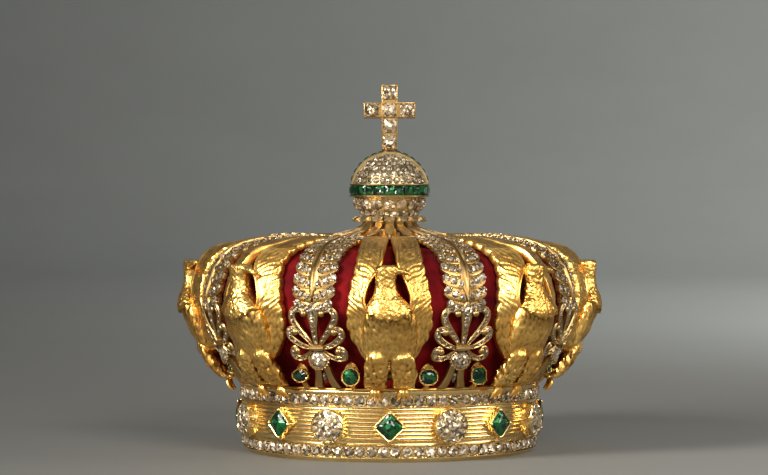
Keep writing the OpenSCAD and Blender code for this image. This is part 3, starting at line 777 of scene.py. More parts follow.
def square_collet():
    """The bevelled frame of a square emerald, made face up, with two beads at each corner."""
    piece = start(bpy.ops.mesh.primitive_cube_add, "square_collet", size=1)
    points = points_of(piece)
    half, level = np.where(points[:, 2:] > 0, SQUARE_FACE, SQUARE_FOOT).T
    points[:, :2] = np.sign(points[:, :2]) * half[:, None] * MM
    points[:, 2] = level * MM
    set_points(piece, points)
    choose_edges(piece, lambda a, b: abs(a.z - b.z) > 2 * MM)
    bpy.ops.mesh.bevel(offset=0.5 * MM, segments=3)
    choose_faces(piece, face_up)
    inset_steps(((0.16, 0.12), (0.22, -0.1), (0.08, -0.8)))
    clear()
    # Painted shade on the collet below its face: the seat of the stone and the lower walls
    mark(piece, "hollow", np.where(points_of(piece)[:, 2] < 1.6 * MM, 0.5, 0))
    beads = [twin(BALL, "bead", place @ sized(size)) for reach, rise, size in SQUARE_BEADS
             for place in round_it(4, reach, rise, math.pi / 4)]
    piece = joined("square_collet", [piece, *beads])
    piece.data.transform(spun(math.pi / 4))
    soften(piece, 35)
    return piece


def round_cup():
    """The cup of a round cluster, made face up: a round wall, a raised rim and a low dome."""
    piece = start(bpy.ops.mesh.primitive_cylinder_add, "round_cup", vertices=48,
                  radius=CUP_R * MM, depth=CUP_H * MM, location=(0, 0, (CUP_FOOT + CUP_H / 2) * MM))
    bpy.ops.object.transform_apply(location=True)
    choose_faces(piece, face_up)
    inset_steps(CUP_STEPS)
    clear()
    soften(piece, 35)
    return piece


def cluster_places():
    """Places of the stones of one domed cluster, made face up: middle, ring and outer ring."""
    spots = [(0, 0, 0, 1.75)]
    for count, reach, size, offset in ((7, 2.95, 1.36, 0.2), (13, 4.95, 1.22, 0.0)):
        for i in range(count):
            a = offset + TURN * (i + dice.uniform(-0.08, 0.08)) / count
            spots.append((reach * math.cos(a), reach * math.sin(a), reach, size * dice.uniform(0.92, 1.06)))
    places = []
    for x, y, reach, size in spots:
        lean = reach / 5.6 * 0.75
        out = (Vector((x, y, 0)).normalized() * math.sin(lean) + Vector((0, 0, math.cos(lean)))).normalized()
        foot = Vector((x, y, 4.6 - 1.3 * (reach / 5.4) ** 2)) * MM
        places.append(seated((foot, out, out.orthogonal().normalized()), (size, size, 1.0), spin_of()))
    return places


def build_circlet():
    band = turned("band", circlet_outline(), 240)
    soften(band, 45)
    mark(band, "hollow", 0.0)
    collet, cup = square_collet(), round_cup()
    parts = [band]
    for k in range(COUNT):
        parts.append(twin(collet, "collet", facing_out(k * SECTOR, GROUND_R, BAND_MID_Z)))
        parts.append(twin(cup, "cup", facing_out((k + 0.5) * SECTOR, GROUND_R, BAND_MID_Z)))
    dress(joined("ribbed_circlet", parts), REEDED_GOLD, "gold", "circlet")
    drop(collet, cup)


def build_row(name, node, floor_r, z, height, width_share):
    """A row of old-cut stones with a pair of grains between neighbours."""
    pitch = TURN * (floor_r + 1) / ROW_COUNT
    stones, grains = [], []
    for k in range(ROW_COUNT):
        turn = (k + 0.5) * TURN / ROW_COUNT
        w = pitch * width_share * dice.uniform(0.92, 1.03) / 2
        h = height * dice.uniform(0.88, 0.98) / 2
        lean = spun(dice.uniform(-0.12, 0.12), "X") @ spun(dice.uniform(-0.1, 0.1), "Y")
        place = facing_out(turn + dice.uniform(-0.002, 0.002), floor_r + 0.55, z + 0.1 + height / 2)
        size = sized(max(w, h * 0.9), max(h * 0.95, w), 1.9)
        stones.append(place @ lean @ spun(dice.uniform(0, 0.8)) @ size)
        for level in (0.14, 0.86):
            grain = facing_out(turn + math.pi / ROW_COUNT, floor_r + 0.75, z + 0.1 + height * level)
            grains.append(grain @ sized(GRAIN_R))
    dress(field(name, ROUND_CUT, stones), DIAMOND, "diamond", node)
    dress(field(name + "_grains", GRAIN, grains), SETTING_GOLD, "gold")


def build_band_stones():
    on_point = spun(math.pi / 4) @ sized(3.43, 3.43, 2.9)
    for k in range(COUNT):
        place = facing_out(k * SECTOR, GROUND_R + 1.75, BAND_MID_Z) @ on_point
        stone = field(f"square_emerald_{k + 1}", SQUARE_CUT, [place], [dice.uniform(0.1, 0.9) if k else 0.9])
        dress(stone, EMERALD, "emerald", f"band_emerald_{k + 1}")
        middle = facing_out((k + 0.5) * SECTOR, GROUND_R, BAND_MID_Z)
        cluster = field(f"pave_cluster_{k + 1}", ROUND_CUT, [middle @ spot for spot in cluster_places()])
        dress(cluster, DIAMOND, "diamond", f"diamond_cluster_{k + 1}")


# Rim setting
COLLET_R = 3.2
COLLET_Z = 29.5
COLLET_FRONT_R = 57.78
COLLET_TURN = math.radians(9.3)
# Width and height of a stone as shares of its collet's radius inside the wall, and how square it is
COLLET_STONES = [(1.06, 1.06, 2.0), (1.10, 0.94, 2.3), (1.04, 1.02, 3.0), (1.12, 0.78, 1.8)]
COLLET_WALL = 0.4
COLLET_PROFILE = [(0.62, -2.6), (0.80, -1.6), (0.9, -0.8), (0.96, -0.1), (0.93, 0.02), (0.84, 0.0),
                  (0.80, -0.5), (0.5, -0.6)]
CLAW = ((1.02, -1.4), (1.06, -0.4), (0.98, 0.25), (0.84, 0.42))
WIRE = [(-1.6, 24.52), (0, 24.52), (0.3, 24.6), (0.42, 24.9), (0.36, 25.25), (0, 25.48), (-0.5, 25.5),
        (-1.6, 25.5)]
# Collets with a darker stone
DARK_PLACES = (3, 5, 10, 15)


def small_collet(cut):
    """A cup with claws, a pointed leaf above it and a bracket below, made face up."""
    w, h, square = COLLET_R * max(cut[0], 0.9), COLLET_R * max(cut[1], 0.78), cut[2]
    cup = oval_piece("cup", 24, COLLET_PROFILE, w, h, square)

    def leaf(u, v, lift):
        return np.stack([u * 2.4 * (1 - v ** 1.8), h * 0.62 + v * (h * 0.38 + 1.9), lift], -1) * MM

    parts = [cup, plate("leaf", 6, 8, leaf, lambda u, v: -0.9 - 0.5 * np.abs(u) + 0.7 * v, -1.9)]
    for i in range(8):
        x, y = ring_shape(math.pi * (i + 0.5) / 4, w * 0.93, h * 0.93, square)
        path = [(x * out, y * out, z) for out, z in CLAW]
        parts.append(rod("claw", path, (0.3, 0.3, 0.32, 0.2), 5, 4, up=(0.3, 0.2, 0.1)))
    path = [(0, -h * 0.5, -1.9), (0, -h * 0.9, -2.6), (0, -4.1, -4.3)]
    piece = joined("small_collet", [*parts, rod("bracket", path, (1.0, 0.9, 1.1), 8, 4, up=(1, 0, 0))])
    soften(piece, 40)
    return piece


def small_emerald(cut):
    w, h = ((COLLET_R - COLLET_WALL) * share for share in cut[:2])
    profile = [(0.7, -0.5), (1, -0.2), (1, 0.1), (0.82, 0.62), (0.58, 0.9), (0.3, 1.02)]
    return oval_piece("small_emerald", 12, profile, w, h, cut[2])


def build_rim():
    wire = turned("wire", [(WIRE_R + out, z) for out, z in WIRE], 192)
    soften(wire, 50)
    parts = [wire]
    seeds = [small_collet(cut) for cut in COLLET_STONES]
    stones = [small_emerald(cut) for cut in COLLET_STONES]
    for k in range(1, 2 * COUNT + 1):
        turn = (0.5 + (k - 1) // 2) * SECTOR + (-COLLET_TURN if k % 2 else COLLET_TURN)
        place = facing_out(turn, COLLET_FRONT_R, COLLET_Z)
        parts.append(twin(seeds[k % 4], "collet", place))
        stone = field(f"rim_emerald_{k}", stones[k % 4], [place @ moved(0, 0, -0.3)])
        dress(stone, DARK_EMERALD if k in DARK_PLACES else EMERALD, "emerald", f"collet_emerald_{k}")
    piece = joined("rim_ring", parts)
    mark(piece, "hollow", 0.0)
    drop(*seeds, *stones)
    dress(piece, RIM_GOLD, "gold", "rim_setting")


# Eagles
# Sections of trunk, neck and head: height, half width, front radius, back radius, shift to the
# side and squareness
TRUNK = [
    (34.8, 6.6, 66.2, 60.6, 0, 2.2),
    (37.0, 8.2, 67.8, 61.0, 0, 2.2),
    (40.5, 9.2, 70.1, 61.6, 0, 2.1),
    (43.6, 9.5, 71.9, 62.4, 0, 2.1),
    (46.4, 9.4, 73.3, 63.2, 0, 2.2),
    (48.9, 9.0, 74.5, 64.0, 0, 2.3),
    (51.6, 8.2, 74.9, 65.0, -0.1, 2.4),
    (54.4, 6.4, 74.4, 66.0, -0.5, 2.3),
    (57.4, 4.5, 73.8, 66.8, -1.0, 2.3),
    (60.4, 3.5, 73.6, 67.0, -1.3, 2.6),
    (63.2, 3.4, 73.6, 67.0, -1.3, 2.8),
    (65.4, 3.7, 73.7, 67.0, -1.1, 3.0),
    (66.8, 3.7, 73.7, 67.0, -0.9, 3.0),
    (67.5, 3.2, 73.1, 67.6, -0.8, 2.8)]
THIGH = [
    (25.9, 3.7, 60.4, 55.6, 4.65, 3.6),
    (27.0, 4.0, 61.8, 57.0, 4.50, 3.4),
    (30.0, 4.3, 64.6, 59.0, 4.35, 3.2),
    (32.0, 4.4, 65.8, 60.4, 4.30, 3.0),
    (33.8, 4.3, 66.8, 62.0, 4.25, 2.8),
    (34.8, 4.2, 67.5, 62.6, 4.25, 2.8),
    (36.4, 3.8, 68.3, 63.4, 4.2, 2.4),
    (38.6, 2.4, 68.7, 64.2, 4.1, 2.2)]
# How far the side toes have spread, radius and height along a toe
TOE = [(0.0, 55.3, 26.2), (0.3, 56.9, 25.7), (0.95, 57.4, 24.4), (1.7, 56.7, 22.8), (2.3, 55.3, 21.2)]
TOE_SIDE = 4.8
HEAD_Y = -70.7
BEAK = [(1.0, 0, 65.4), (3.0, -0.5, 65.7), (5.0, -0.9, 65.5), (6.6, -1.0, 64.6), (6.7, -1.0, 62.9)]
BROW = [(-2.2, 1.9, 66.5), (0.0, 2.2, 66.7), (2.2, 1.6, 66.3), (3.8, 0.8, 65.8)]
BOTH = (-1, 1)


def upper_half(angle):
    """The upper half of a wave, from 0 to 1."""
    return np.clip(np.sin(angle), 0, 1)


def body_column(name, sides, rings, rows):
    def place(angle, share, radial):
        z, half, front, back, shift, square = smooth(rows, share * (len(rows) - 1)).T
        middle = (front + back) / 2
        side, out = ring_shape(angle, half * radial, (front - middle) * radial, square)
        return wrapped(middle + out, shift + side, z, middle)

    return column(name, sides, rings, place)


def toe(side, lean):
    """One toe that comes from under the leg, bends over the rim and ends in a pointed claw."""
    path = [(side + lean * spread, -r, z) for spread, r, z in TOE]
    made = rod("toe", path, (0.5, 0.75, 0.85, 0.68, 0.12), 8, 10, up=(1, 0, 0))
    mark(made, "hollow", 0.0)
    mark(made, "chased", 0.1)
    return made


def head_parts():
    """Beak with its hook, and the brow on each side of the head."""
    beak = [(x, HEAD_Y + y, z) for x, y, z in BEAK]
    parts = [rod("beak", beak, (1.9, 1.6, 1.25, 0.9, 0.25), 10, 10, flat=0.8)]
    for way in BOTH:
        parts.append(rod("brow", [(x, HEAD_Y + way * y, z) for x, y, z in BROW], (0.4, 0.7, 0.65, 0.3)))
    return parts


def tufts(points, size):
    """Height of small overlapping tufts at each point, 1 on a tuft and 0 in a crease."""
    near = [noise.voronoi(Vector(point / (size * MM)))[0] for point in points]
    return np.array([min(1.0, (second - first) * 1.8) for first, second, *others in near])


def drift(points, size):
    """Slow noise at each point, about -1 to 1."""
    return np.array([noise.noise(Vector(point / (size * MM))) for point in points])


def eagle_body():
    """Trunk, head and thighs fused like a casting, then chased, with the toes below."""
    parts = [body_column("trunk", 32, 40, TRUNK), *head_parts()]
    parts += [body_column("thigh", 20, 16, np.array(THIGH) * (1, 1, 1, 1, way, 1)) for way in BOTH]
    body = joined("eagle_body", parts)
    finish_with(body, "REMESH", mode="VOXEL", voxel_size=0.42 * MM)
    finish_with(body, "SMOOTH", factor=0.5, iterations=2)
    points, ways = points_of(body), points_of(body, "normal")
    side, deep, z = points.T / MM
    r = np.hypot(side, deep)
    front = ramp(-ways[:, 1], -0.2, 0.5)
    # The mantle of small tufts hangs over the breast with a wavy edge
    ledge = 48.7 + 0.055 * side ** 2 + 0.7 * np.abs(np.sin(side * 1.05 + 0.5)) + 0.3 * np.sin(side * 3.1)
    mantle = ramp(z, ledge - 0.2, ledge + 0.2)
    fluff, fine = tufts(points, 1.15), tufts(points, 0.75)
    strokes = drift(points * (1, 1, 0.22), 0.7)
    broad = drift(points * (1, 1, 0.45), 2.6)
    # Knees, legs and the gap between them
    knee_low = 34.6 + 0.3 * np.sin(side * 3.4)
    from_knee = np.abs(np.abs(side) - 4.3)
    knees = ramp(z, knee_low - 0.2, knee_low + 0.25) * ramp(-z, -37.9, -36.3)
    knees = knees * ramp(r, 65.0, 67) * ramp(-from_knee, -2.1, -1.1)
    leg = ramp(-z, -knee_low, -knee_low + 0.4) * ramp(z, 26.0, 27.0)
    split = np.exp(-(side / (0.3 + 0.8 * ramp(-z, -33, -26))) ** 2) * ramp(-z, -36.8, -34.5) * ramp(r, 57, 60)
    below = ramp(z, 43.5, 48.2) * (1 - mantle) * front
    worked = np.clip(mantle + 0.6 * knees, 0, 1)
    lift = worked * (0.20 * fluff + 0.14 * fine - 0.1)
    lift += 0.9 * mantle * front * ramp(-z, -60, -54) + 0.45 * knees
    lift += (1 - worked) * (0.42 * broad + 0.34 * strokes) * ramp(z, 26, 28)
    lift += leg * (0.05 * broad + 0.3 * strokes - 0.16 * upper_half(side * 4.4 + 0.9 * np.sin(z * 0.8)))
    lift -= 0.9 * split + 0.45 * below
    set_points(body, points + ways * (lift * MM)[:, None])
    # Patina and painted shade darken the grooves of the strokes and the creases between tufts; painted shade
    # darkens the gap between the legs and the belly under the mantle's ledge
    hollow = (1 - worked) * (0.6 + 0.3 * leg) * np.clip(-strokes * 1.6 - 0.1, 0, 1)
    hollow += worked * 0.4 * (1 - fluff) ** 1.5 + 0.8 * split + 0.45 * below
    mark(body, "hollow", np.clip(hollow, 0, 1))
    mark(body, "chased", worked * 0.6 + 0.18)
    soften(body, 60)
    return joined("eagle_body", [body] + [toe(way * TOE_SIDE, lean) for way in BOTH for lean in (-1, 0, 1)])


WING_START = s_at_row(2)
SCALE_H = 3.8
SCALE_W = 2.5
BARB_W = 1.75
BARB_LENGTH = 8.5
SCALLOP = 4.9


def wing_edges(s, side_way):
    """Inner and outer edge of the wing at s, with scallops along the outer one. The wing that
    the beak points to stands closer to the neck."""
    closer = 1.3 * ramp(s, 27, 33) * ramp(-s, -46, -38) if side_way > 0 else 0
    inner = along(s, WING_IN) + 0.12 - closer
    lobes = np.abs(np.sin(np.pi * (s - WING_START) / SCALLOP)) ** 0.55
    fade = ramp(s, WING_START, WING_START + 8) * ramp(-s, 8 - ARCH_LENGTH, 22 - ARCH_LENGTH)
    outer = along(s, WING_OUT) - 0.75 * (1 - lobes) * fade
    return inner, np.maximum(outer, inner + 1.2)


def chance(*numbers):
    """A steady random value from 0 to 1 for each set of whole numbers."""
    mixed = sum(np.asarray(number) * step for number, step in zip(numbers, (12.9898, 78.233, 37.719)))
    return (np.sin(mixed) * 43758.5453) % 1


def feathers(s, side):
    """Relief of a wing: rounded scales low down, long rippled barbs over the shoulder. Each
    scale and barb leans its own way. Returns the height, and how deep in a groove a point is."""
    span = np.maximum(along(s, WING_OUT) - along(s, WING_IN), 1.0)
    share = np.clip((side - along(s, WING_IN)) / span, 0, 1)
    row = (s - 2.8 * (1 - share) + 0.25 * np.sin(side * 1.1)) / SCALE_H
    line = np.floor(row)
    across = ((side / SCALE_W + 0.5 * (line % 2)) % 1) * 2 - 1
    line = np.where(row - line < 0.5 * across ** 2, line - 1, line)
    column_at = side / SCALE_W + 0.5 * (line % 2)
    number = np.floor(column_at)
    across = (column_at % 1) * 2 - 1
    ahead = row - line - 0.5 * across ** 2
    pillow = np.clip(1 - np.abs(across) ** 6, 0, 1) ** 0.5 * (1 - np.exp(-7 * np.clip(ahead, 0, 2)))
    lean = (chance(line, number) - 0.5) * across + 0.5 * (chance(number, line, 3) - 0.5)
    scales = pillow * (1.05 - 0.5 * ahead + 0.7 * lean + 0.22 * np.sin(9 * np.abs(across) + 7 * ahead))
    bend = 0.6 * np.sin(side * 0.62 + s * 0.17) + 0.25 * np.sin(side * 1.5 - s * 0.45)
    way_over = (s - 0.95 * side + bend) / BARB_W
    barb = np.floor(way_over)
    reach = side / BARB_LENGTH + chance(barb)
    over, out = way_over % 1, reach % 1
    ripple = upper_half(np.pi * over) ** 0.7 * np.clip(np.minimum(out, 1 - out) * 9, 0, 1)
    barbs = ripple * (0.75 + 0.5 * (chance(barb, np.floor(reach)) - 0.5) + 0.35 * (over - 0.5))
    upper = ramp(s, 24, 33)
    height = 0.78 * (1 - upper) * scales + 0.8 * upper * barbs
    groove = np.clip(1 - 1.6 * ((1 - upper) * pillow + upper * ripple), 0, 1) * (1 - 0.3 * upper)
    streaks = (1 - 0.7 * upper) * upper_half(4.2 * side + 1.2 * np.sin(s * 0.4) + 0.35 * s) ** 2
    return height - 0.34 * streaks, np.clip(0.85 * groove + 0.4 * streaks, 0, 1)


def wing(side_way):
    """One wing: a broad plate on the arch with its feathers. Its inner edge stands out beside
    the neck and has a smooth rim."""
    trunk_low, trunk_high = s_at_z(32), s_at_z(51)

    def shape(u, v):
        """Way along, way to the side, share of the width, and how far the inner edge stands out."""
        s = WING_START + v * (ARCH_LENGTH - WING_START)
        inner, outer = wing_edges(s, side_way)
        share = (u + 1) / 2
        proud = 2.5 * ramp(s, 20, 32) * ramp(-s, -60, -44) * (1 - share) ** 1.6
        return s, inner + share * (outer - inner), share, proud

    def place(u, v, lift):
        s, side = shape(u, v)[:2]
        return on_arch(s, side_way * side, lift)

    def top(u, v):
        s, side, share, proud = shape(u, v)
        inner, outer = wing_edges(s, side_way)
        from_rim, from_edge = side - inner, outer - side
        rimmed, over = ramp(s, 25, 30), ramp(s, 46, 60)
        plain = ramp(from_rim, 1.0, 1.5) * rimmed + (1 - rimmed)
        swell = (0.7 - 0.4 * share + 0.4 * np.sin(np.pi * share)) * (1 - 0.8 * over) + proud
        rim = rimmed * (0.5 - 0.2 * over) * np.clip(1 - ((from_rim - 0.55) / 0.6) ** 2, 0, 1)
        edge = -0.75 * np.clip(1 - from_edge / 0.6, 0, 1) ** 2
        fade = 0.3 + 0.7 * ramp(-s, 1 - ARCH_LENGTH, 9 - ARCH_LENGTH)
        # The wing swells up to the trunk beside it
        beside = ramp(s, trunk_low, trunk_low + 6) * ramp(-s, -trunk_high, 15 - trunk_high)
        swell = swell + 1.9 * beside * ramp(-side, -11.6, -8.6)
        return swell + rim + edge + (0.55 - 0.22 * over) * plain * feathers(s, side)[0] * fade

    piece = plate("wing", 36, 210, place, top, lambda u, v: 0.1 - ARCH_T + 0.8 * shape(u, v)[3])
    x, y, z = points_of(piece).T / MM
    past = slice(UPRIGHT.stop, None)
    s = np.where(np.hypot(x, y) < 52, np.interp(-np.hypot(x, y), -LINE_R[past], LINE_S[past]), s_at_z(z))
    side = np.abs(np.arctan2(x, -y)) * along(s, LINE_R)
    worked = ramp(side - wing_edges(s, side_way)[0], 1.0, 1.5)
    # The grooves between the feathers are darkened with patina and painted shade
    mark(piece, "hollow", 0.95 * feathers(s, side)[1] * worked)
    mark(piece, "chased", 0.05 * worked)
    soften(piece, 70)
    return piece


def build_eagles():
    first = joined("eagle_model", [eagle_body(), wing(-1), wing(1)])
    for k in range(COUNT):
        dress(twin(first, f"cast_eagle_{k + 1}", spun(k * SECTOR)), CAST_GOLD, "gold", f"eagle_{k + 1}")
    drop(first)


# Palmettes
PALM_START = s_at_row(4.6)
LEAFLET_PITCH = 4.4
LEAFLET_ROOT = 0.5
# Stones along a leaflet: their radius as a share of the pitch, from the root to the tip
LEAFLET_STONES = (0.27, 0.32, 0.34)
# The scrolls of one side: path to the side and up, widths, number of stones and where they start
SCROLLS = [
    ([(0.9, 39.6), (2.6, 42.2), (5.0, 45.0), (7.3, 48.4), (7.7, 51.0), (6.3, 52.6), (4.2, 52.4), (3.2, 51.2)],
     (1.0, 1.7, 2.2, 2.4, 2.4, 2.3, 2.1, 1.6), 11, 0.08),
    ([(1.3, 39.4), (4.2, 39.9), (7.0, 41.2), (9.2, 43.2), (9.4, 45.1), (8.0, 45.7), (7.0, 44.9)],
     (1.1, 1.8, 2.2, 2.3, 2.3, 2.4, 2.3), 8, 0.1),
    ([(2.2, 38.4), (4.4, 36.6), (6.8, 35.7), (8.9, 36.4), (9.3, 38.0), (8.3, 38.9), (7.4, 38.3)],
     (1.1, 1.8, 2.1, 2.3, 2.3, 2.4, 2.3), 7, 0.1)]
SCROLL_END = 0.97
STEM = [(0, 39.2), (0, 43), (0, 46.5), (0, 49.5), (0, 52.2), (0, 55.2)]
STEM_STONES = ((41.2, 0.75), (43.0, 0.8), (44.9, 0.85), (46.9, 0.95), (49.1, 1.25), (51.8, 1.8), (54.3, 1.0))
BAR_FRONT = 1.0
BAR_BACK = -0.6
DROP_Z = 35.66
DROP_R = 3.2
DROP_BEADS = 20


def bar(path, widths, way=1):
    """A band along a path on the arches' face, with a thin raised edge on each side."""
    path = np.array(path) * (way, 1)

    def place(u, v, lift):
        t = v * (len(path) - 1)
        half = smooth(widths, v * (len(widths) - 1)) / 2
        side, z = (smooth(path, t) + direction(path, t)[:, ::-1] * (-1, 1) * (u * half)[:, None]).T
        return on_face(z, side, lift)

    def top(u, v):
        edge = np.clip((np.abs(u) - 0.5) / 0.2, 0, 1) - 1.2 * np.clip((np.abs(u) - 0.8) / 0.2, 0, 1)
        return BAR_FRONT - 0.25 + 0.34 * edge

    return plate("bar", 6, 36, place, top, BAR_BACK)


def bar_stones(path, widths, way, count, first):
    """Places of the small stones along a bar."""
    places = []
    for i in range(count):
        v = first + (SCROLL_END - first) * (i + 0.5) / count
        side, z = smooth(path, v * (len(path) - 1)) * (way, 1)
        radius = smooth(widths, v * (len(widths) - 1)) * 0.37
        places.append(seated(face_seat(z, side, BAR_FRONT - 0.3), (radius, radius, 0.85), spin_of()))
    return places


def leaflet(start_s, reach, rise, width, way):
    """One leaflet of the palm leaf: a curved tongue with a thin raised edge. Also its middle
    line and how high it stands there."""
    crest = float(ramp(start_s, 46, 60))

    def middle(v):
        return LEAFLET_ROOT + (reach - LEAFLET_ROOT) * v, start_s + rise * v ** 1.5

    def dome(v):
        return 0.75 - 0.4 * crest - 1.1 * (middle(v)[0] / PALM_HALF_W) ** 1.5

    def place(u, v, lift):
        side, s = middle(v)
        slope = rise * 1.5 * v ** 0.5 / (reach - LEAFLET_ROOT)
        size = np.hypot(1, slope)
        tip = np.clip((v - 0.74) / 0.26, 0, 0.995)
        half = width / 2 * np.sqrt(1 - tip ** 2) * (0.72 + 0.28 * np.clip(v * 2.5, 0, 1))
        return on_arch(s + u * half / size, way * (side - u * half * slope / size), lift)

    def brim(u, v):
        return np.clip((np.maximum(np.abs(u), (v - 0.76) / 0.24) - 0.74) / 0.14, 0, 1)

    def top(u, v):
        return dome(v) + 0.25 * brim(u, v) - 0.4 * np.clip((np.abs(u) - 0.93) / 0.07, 0, 1)

    # The face between the stones is darkened as painted shade; the raised edge stays bright
    return plate("leaflet", 8, 9, place, top, 0.3 - ARCH_T, lambda u, v: 0.5 * (1 - brim(u, v))), middle, dome


def palm_leaf():
    """The diamond-set leaf: leaflets in pairs up to the collar, and a polished rib."""
    parts, stones, grains, s = [], [], [], PALM_START + 0.8
    while s < ARCH_LENGTH - 5:
        reach = float(along(s + 2, PALM_OUT)) + 0.1
        pitch = LEAFLET_PITCH * (0.62 + 0.38 * reach / PALM_HALF_W)
        last = max(2, round(reach / (0.5 * pitch))) - 1
        for way in BOTH:
            piece, middle, dome = leaflet(s, reach, 0.42 * reach, pitch * 1.04, way)
            parts.append(piece)
            for i in range(last + 1):
                v = 0.16 + 0.68 * i / last
                side, spot = middle(v)
                radius = pitch * LEAFLET_STONES[min(i, 2)] * dice.uniform(0.94, 1.04)
                seat = arch_seat(spot, way * side, dome(v) + 0.08)
                stones.append(seated(seat, (radius, radius, 0.95), spin_of()))
                if i < last:
                    side, spot = middle(v + 0.34 / last)
                    for edge in BOTH:
                        seat = arch_seat(spot + edge * 0.3 * pitch, way * side, dome(v) + 0.1)
                        grains.append(seated(seat, (GRAIN_R,)))
        s += pitch

    def backing(u, v, lift):
        s_here = PALM_START + 1.5 + v * (ARCH_LENGTH - PALM_START - 1.5)
        return on_arch(s_here, u * (along(s_here, PALM_OUT) - 0.9) * ramp(v, -0.02, 0.03), lift)

    def rib(u, v, lift):
        half = 1.75 * np.clip(v * 9, 0, 1) ** 0.8 * (0.42 + 0.58 * ramp(-v, -0.42, -0.12))
        return on_arch(PALM_START + 3.4 + v * (ARCH_LENGTH - PALM_START - 6.4), u * half, lift)

    def rib_top(u, v):
        """A spear's ridge low down that opens into a channel with raised edges."""
        opened = ramp(v, 0.17, 0.24)
        edge = np.clip(1 - ((np.abs(u) - 0.75) / 0.3) ** 2, 0, 1)
        channel_lift = 0.75 + 0.6 * edge - (0.4 + 0.2 * edge) * ramp(v, 0.25, 0.5)
        return (1.6 - 0.8 * np.abs(u) ** 1.5) * (1 - opened) + channel_lift * opened

    parts.append(plate("backing", 8, 60, backing, lambda u, v: 0.3 - 1.1 * np.abs(u) ** 1.5, -ARCH_T))
    spine = plate("rib", 10, 60, rib, rib_top, 0.2)
    x, y, z = points_of(spine).T / MM
    from_middle = np.abs(np.arctan2(x, -y)) * np.hypot(x, y)
    # Painted shade along the middle of the rib high up, so its channel stays dark
    mark(spine, "hollow", 0.8 * ramp(-from_middle, -0.45, -0.3) * ramp(z, 61.5, 64))
    return [*parts, spine, field("leaf_grains", GRAIN, grains)], stones


def build_palmette_model():
    """One palm arch at the front: its gold, the places of its small stones and that of the drop."""
    parts, stones = palm_leaf()
    for way in BOTH:
        for path, widths, count, first in SCROLLS:
            parts.append(bar(path, widths, way))
            stones += bar_stones(path, widths, way, count, first)
            end = face_seat(path[-1][1], way * path[-1][0], BAR_FRONT - 0.35)
            parts.append(twin(BALL, "knob", seated(end, (1.25, 1.25, 1.0))))
    parts.append(bar(STEM, (1.5, 1.9, 2.5, 3.6, 4.0, 1.2)))
    for z, radius in STEM_STONES:
        stones.append(seated(face_seat(z, 0, BAR_FRONT - 0.25), (radius, radius, 1.1), spin_of()))
    # The binding above the round diamond, and the legs below it
    binding = [on_face(39.5, x, 0.9) / MM for x in (-2.6, -1.3, 0, 1.3, 2.6)]
    parts.append(rod("binding", binding, (0.8, 1.0, 1.05, 1.0, 0.8), 10, 8))
    for way in BOTH:
        def leg(u, v, lift, way=way):
            z = SEAT_Z + 0.05 + v * (DROP_Z - 1.5 - SEAT_Z)
            middle = way * (1.6 + 1.8 * (1 - v) ** 2.2)
            return on_face(z, middle + u * (1.15 + 0.4 * (1 - v) ** 3), lift - 0.3 * ramp(-z, -27.5, -25.6))

        parts.append(plate("leg", 6, 16, leg, lambda u, v: 1.35 - 0.7 * np.abs(u) ** 2, -1.2))
    gold_piece = joined("palmette_model", parts)
    profile = [(0.8, -1.0), (1.02, 0.2), (1.1, 1.2), (1.08, 1.42), (1.0, 1.45), (0.94, 1.1), (0.5, 0.9)]
    cup = oval_piece("drop_cup", 24, profile, DROP_R + 0.15, DROP_R + 0.15, 2)
    foot = arch_seat(s_at_z(DROP_Z), 0, -0.1)[0]
    place = Matrix.Translation(foot) @ spun(math.pi / 2, "X")
    cup.data.transform(place)
    beads = [twin(GRAIN, "bead", place @ spot @ sized(0.5)) for spot in round_it(DROP_BEADS, 3.6, 1.0)]
    gold_piece = joined("palmette_model", [gold_piece, cup, *beads])
    soften(gold_piece, 35)
    # The long stone between the legs
    stones.append(seated(face_seat(29.2, 0, 0.15), (0.75, 2.3, 1.2)))
    return gold_piece, stones, place @ moved(0, 0, 1.1) @ sized(DROP_R, DROP_R, 2.6)


def build_palmettes():
    model, stones, drop_place = build_palmette_model()
    pave = field("pave_model", SMALL_CUT, stones)
    turns = [spun((k + 0.5) * SECTOR) for k in range(COUNT)]
    for k, turn in enumerate(turns):
        dress(twin(model, f"palm_arch_{k + 1}", turn), SETTING_GOLD, "gold", f"palmette_{k + 1}")
        dress(twin(pave, f"palm_stones_{k + 1}", turn), SHADED_PAVE, "diamond")
    drops = field("drop_stones", ROUND_CUT, [turn @ drop_place for turn in turns])
    dress(drops, DIAMOND, "diamond", "palmette_diamonds")
    drop(model, pave)


# Velvet cap
VELVET_T = 1.7
VELVET_FOOT_R = 51.1
VELVET_FOOT_Z = 24.65


